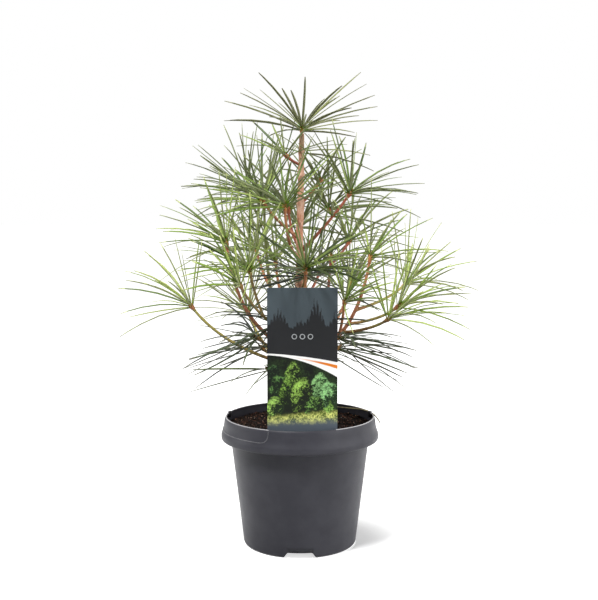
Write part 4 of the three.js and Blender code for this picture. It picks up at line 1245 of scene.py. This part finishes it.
class Room:
    """The straight thick lines that are taken, each with the name of the mass or limb it belongs to."""

    def __init__(self):
        self.owners = []
        self.lines = []

    def take(self, owner, points, radii):
        """Notes the lines between the points as taken."""
        for start, end, radius in zip(points, points[1:], radii):
            self.owners.append(owner)
            self.lines.append((*start, *end, radius))

    def is_clear(self, owner, start, end, radius, gap):
        """Whether a line keeps the gap from every line of another owner."""
        lines = np.array(self.lines)[np.array(self.owners) != owner]
        apart = gap_between(start, end, lines[:, :3], lines[:, 3:6])
        return bool(np.all(apart >= lines[:, 6] + radius + gap))


def is_open(points):
    """Whether all the points keep out of the card and the pot, and of the view of both."""
    x, y, z = points.T
    sight_line = CARD_TOP + CARD_ROOM["over"] + CARD_ROOM["rise"] * np.maximum(CARD_FRONT - y, 0)
    over_card = (np.abs(x - CARD_CENTRE) < CARD_WIDTH / 2 + CARD_ROOM["beside"]) & (z < sight_line)
    before_card = over_card & (y < CARD_FRONT + CARD_ROOM["before"])
    in_pot = (np.hypot(x, y) < COLLAR[0] + POT_ROOM["round"]) & (z < RIM[1] + POT_ROOM["over"])
    before_pot = (np.abs(x) < COLLAR[0]) & (y < POT_ROOM["front"]) & (z < RIM[1] + POT_ROOM["over_front"])
    return not np.any(before_card | in_pot | before_pot)


def fits(whorl, line, half, gap):
    """Whether a needle is in the open, and clear of everything that isn't of its own mass."""
    share = np.arange(1, CHECKS + 1)[:, None] / CHECKS
    root, bend, tip = line
    checks = np.where(share < BEND, root + (bend - root) * share / BEND,
                      bend + (tip - bend) * (share - BEND) / (1 - BEND))
    if not is_open(checks):
        return False
    neck = root + (bend - root) * NEEDLE_NECK
    mass = whorl["mass"]
    return (room.is_clear(mass, root, neck, ROOT_WIDTH / 2 + ROOT_ROOM, gap)
            and room.is_clear(mass, neck, bend, half, gap) and room.is_clear(mass, bend, tip, half, gap))


room = Room()
# The trunk counts as straight lines between these heights, and others just round its swellings.
PLAIN_HEIGHTS = (139.3, 143.3, 150.3, 167.3, 215, 265, 290, 318, 365, 388, 423, 486)
ring_heights = np.sort(np.append(PLAIN_HEIGHTS, RING_HEIGHTS[:, None] + (-5, 0, 5)))
trunk_radii = trunk_radius(ring_heights)
room.take("trunk", trunk_centre(ring_heights), np.maximum(trunk_radii[:-1], trunk_radii[1:]))
for shoot in shoots:
    limb = limbs[shoot["name"]]
    if limb.share > 0:
        share = np.linspace(0, 1, 7)
        radii = shoot["thick"] + (BOUGH_TIP - shoot["thick"]) * share
        radii *= 1 + FOOT_SWELL * np.exp(-share * limb.share * limb.length / FOOT_SWELL_LENGTH)
        room.take(f"bough_{shoot['name']}", limb.point(share * limb.share), radii)
for twig in twigs:
    stem = twig["limb"].point(np.linspace(twig["start"], 1, 3))
    room.take(twig["mass"], stem, [STEM_RADIUS + STEM_FOOT_SWELL] * 2)
for number, whorl in enumerate(whorls):
    settle_whorl(whorl, number + 1)

needles = []
most_needles = max(whorl["needles"] for whorl in whorls)
# The source's own needles, the ones between them, and the finer third set: the first number, half the
# width, the gap that is kept, the shares that are grown, and the share where none is given.
NEEDLE_SETS = (
    (0, NEEDLE_WIDTH / 2, CLEAR, {}, 1),
    (1, BETWEEN_RADIUS, 0, BETWEEN, 1),
    (FINER_KEYS, BETWEEN_RADIUS, 0, FINER, 0),
)
for first, half, gap, shares, usual in NEEDLE_SETS:
    for k in range(first, first + most_needles, 2):
        for whorl in whorls:
            grown = seeded(whorl["number"], k, DRAW_KEPT) < shares.get(whorl["mass"], usual)
            in_ring = k % FINER_KEYS < whorl["needles"]
            for attempt in range(TRIES if in_ring and grown else 0):
                line = needle_line(whorl, k, attempt)
                if fits(whorl, line, half, gap):
                    room.take(whorl["mass"], line, [half, half])
                    needles.append((whorl, k, line))
                    break

STATIONS = np.array([0, 0.07, 0.22, 0.45, 0.7, 0.9, 1])
STATION_WIDTHS = np.array([0.5, 0.8, 0.98, 1, 0.88, 0.66, 0.36])
STATION_DEPTHS = np.array([1, 0.95, 0.9, 0.9, 0.8, 0.62, 0.4])
SECTION_ACROSS = np.array([-1, -0.62, 0, 0.62, 1, 0.62, 0, -0.62])
SECTION_UP = np.array([0, 0.5, 0.22, 0.5, 0, -0.42, -0.15, -0.42])
NOTCH_AT_TIP = 0.5


def needle_shapes(lines, axes, width, rolls, bows, lifts):
    """Closed blades along quadratic Bezier curves that pass each needle's bend, moved by its bow to one
    side and by its lift towards the whorl's axis. At seven stations a furrowed section stands across
    the curve, its upper side turned towards the axis and rolled. The last fan dips in, which notches
    the tip."""
    root, bend, tip = lines[:, 0], lines[:, 1], lines[:, 2]
    middle = (bend - (1 - BEND) ** 2 * root - BEND ** 2 * tip) / (2 * BEND * (1 - BEND))
    length = np.linalg.norm(tip - root, axis=1)[:, None]
    beside = unit(np.cross(tip - root, axes))
    above = np.cross(beside, unit(tip - root))
    middle = middle + (beside * bows[:, None] + above * lifts[:, None]) * length
    t = STATIONS[None, :, None]
    centre = (1 - t) ** 2 * root[:, None] + 2 * t * (1 - t) * middle[:, None] + t ** 2 * tip[:, None]
    along = unit((1 - t) * (middle - root)[:, None] + t * (tip - middle)[:, None])
    across = unit(np.cross(along, axes[:, None] + 0 * along))
    up = np.cross(across, along)
    cosine = np.cos(rolls)[:, None, None]
    sine = np.sin(rolls)[:, None, None]
    wide = (across * cosine + up * sine)[:, :, None] * (STATION_WIDTHS * width / 2)[:, None, None]
    deep = (up * cosine - across * sine)[:, :, None] * STATION_DEPTHS[:, None, None]
    rings = centre[:, :, None] + wide * SECTION_ACROSS[:, None] + deep * SECTION_UP[:, None]
    return shells(rings, centre[:, 0], centre[:, -1] - along[:, -1] * NOTCH_AT_TIP)


# The colours of each tone: a needle's root, one of three greens, its underside and its tip.
ZONES = ("root", "first", "second", "third", "under", "tip")
TONES = {
    "leader": ((103, 141, 36), (101, 108, 55), (120, 125, 74), (82, 87, 46), (139, 141, 107),
               (131, 132, 100)),
    "upper": ((110, 143, 41), (99, 121, 52), (127, 143, 76), (72, 90, 41), (138, 147, 103),
              (140, 147, 100)),
    "mid": ((121, 153, 45), (116, 140, 56), (149, 166, 86), (84, 104, 43), (157, 166, 114),
            (172, 181, 114)),
    "fresh": ((127, 156, 50), (123, 143, 60), (158, 175, 93), (89, 110, 45), (164, 173, 118),
              (179, 187, 118)),
    "lime": ((112, 141, 41), (125, 143, 62), (162, 175, 97), (91, 112, 48), (166, 175, 122),
             (187, 195, 131)),
    "deep": ((99, 125, 43), (80, 97, 43), (106, 121, 60), (56, 69, 34), (116, 125, 86), (125, 134, 84)),
    "dusk": ((91, 113, 50), (68, 81, 45), (91, 105, 57), (51, 61, 37), (109, 119, 84), (113, 119, 82)),
    "old": ((79, 93, 48), (57, 67, 45), (79, 90, 65), (40, 47, 36), (104, 110, 92), (107, 109, 86)),
}
# Each tone's needle width, its least and its most roll, its bow, and the middle and spread of its lift.
BLADES = {
    "leader": (3, 10, 50, 0.04, 0, 0.03),
    "upper": (2.7, 10, 45, 0.06, 0, 0.04),
    "mid": (2.5, 10, 45, 0.07, 0, 0.045),
    "fresh": (2.3, 10, 45, 0.08, 0, 0.05),
    "lime": (2.2, 10, 45, 0.08, 0, 0.05),
    "deep": (2.7, 10, 50, 0.07, 0, 0.05),
    "dusk": (2.4, 25, 75, 0.12, -0.05, 0.1),
    "old": (2.3, 25, 75, 0.13, -0.05, 0.11),
}
for tone, colours in TONES.items():
    finishes = []
    for zone, tint in zip(ZONES, colours):
        finish = Finish(f"{tone}_{zone}", Base_Color=colour(*tint), Specular_IOR_Level=0.3)
        finish.feed("Roughness", finish.noise(350) * 0.2 + 0.4)
        finishes.append(finish)
    mine = [needle for needle in needles if needle[0]["tone"] == tone]
    keys = [(whorl["number"], k) for whorl, k, _ in mine]
    width, least_roll, most_roll, bow, lift, lift_spread = BLADES[tone]
    rolls = np.array([centred(*key, DRAW_ROLL) for key in keys])
    rolls = np.sign(rolls) * np.radians(least_roll + (most_roll - least_roll) * np.abs(rolls))
    bows = np.array([centred(*key, DRAW_BOW) for key in keys]) * bow
    lifts = lift + np.array([centred(*key, DRAW_LIFT) for key in keys]) * lift_spread
    tints = np.array([int(3 * seeded(*key, DRAW_TINT)) for key in keys])
    lines = np.array([line for _, _, line in mine])
    axes = np.array([whorl["axis"] for whorl, _, _ in mine])
    rows = len(STATIONS) - 1
    columns = len(SECTION_ACROSS)
    zone_of = np.empty((len(mine), rows, columns), int)
    zone_of[:] = 1 + tints[:, None, None]
    zone_of[:, :, columns // 2:] = ZONES.index("under")
    zone_of[:, 0] = ZONES.index("root")
    zone_of[:, -1] = ZONES.index("tip")
    ends = np.tile(np.repeat([ZONES.index("root"), ZONES.index("tip")], columns), len(mine))
    masses = sorted({whorl["mass"] for whorl, _, _ in mine})
    slot = "old_needles" if tone == "old" else "green_needles"
    blades = needle_shapes(lines, axes, width, rolls, bows, lifts)
    add_piece(f"blades_{tone}", slot, masses, blades, finishes,
              which=np.concatenate([zone_of.ravel(), ends]))


# Studio
# A white floor, which shines by itself under the pot and away from it, and not in the ring between, for
# the pot's shadow to show. The surroundings are dim at the front left, overhead and below, and bright
# at the right, and three soft lights stand in them.
FLOOR_SIZE = 40
SHADOW_RING = {"starts": (66.5, 68.5), "ends": (75, 150), "glow": 0.12}
scene.view_settings.view_transform = "Standard"
bpy.ops.mesh.primitive_plane_add(size=FLOOR_SIZE)
floor = bpy.context.object
floor.name = "floor"
floor.visible_diffuse = False
floor_finish = Finish("white_floor", Base_Color=(0.8, 0.8, 0.8, 1), Roughness=0.9, Specular_IOR_Level=0.1,
                      Emission_Strength=0.65)
from_pot = floor_finish.length(floor_finish.place())
under = 1 - from_pot.ramp(*SHADOW_RING["starts"])
lit_floor = from_pot.ramp(*SHADOW_RING["ends"]) + under
glow = lit_floor * (1 - SHADOW_RING["glow"]) + SHADOW_RING["glow"]
floor_finish.feed("Emission Color", glow)
floor.data.materials.append(floor_finish.material)
# Each shade of the sky: the direction it lies in, where it starts and ends as the cosine of the angle
# from there, and its strength.
SKY_SHADES = (
    ((-0.72, -0.69, 0), -0.15, 0.85, 0.04),
    ((1, 0, 0), 0.35, 0.95, 2.1),
    ((0, 0, 1), 0.25, 0.95, 0.5),
    ((0, 0, -1), 0.1, 0.5, 0.3),
)
world = bpy.data.worlds.new("studio")
world.use_nodes = True
sky = Pattern(world.node_tree)
direction = sky.node("ShaderNodeTexCoord", {}, {}, "Generated")
brightness = 1
for towards, start, end, strength in SKY_SHADES:
    cosine = sky.node("ShaderNodeVectorMath", {"operation": "DOT_PRODUCT"},
                      {0: direction, 1: towards}, "Value")
    shade = {"Value": cosine, "From Min": start, "From Max": end, "To Min": 1, "To Max": strength}
    brightness = sky.node("ShaderNodeMapRange", {}, shade) * brightness
background = world.node_tree.nodes["Background"]
background.inputs["Color"].default_value = (1, 1, 1, 1)
world.node_tree.links.new(brightness.socket, background.inputs["Strength"])
scene.world = world


def add_light(name, watts, size, place, aim):
    """A square area light that faces the point it is aimed at. Its size and places are in metres."""
    data = bpy.data.lights.new(name, "AREA")
    data.energy = watts
    data.size = size
    lamp = bpy.data.objects.new(name, data)
    lamp.location = place
    forward = np.array(aim) - np.array(place)
    lamp.rotation_euler = (np.arccos(-forward[2] / np.linalg.norm(forward)), 0,
                           np.arctan2(forward[1], forward[0]) - np.pi / 2)
    scene.collection.objects.link(lamp)


add_light("left_softbox", 9, 0.8, (-1.6, 0.1, 0.7), (0, 0, 0.25))
add_light("right_softbox", 14, 1.4, (1.4, -0.9, 0.8), (0, 0, 0.25))
add_light("top_light", 66, 0.5, (-0.7, -1.05, 2.1), (0, 0, 0.2))

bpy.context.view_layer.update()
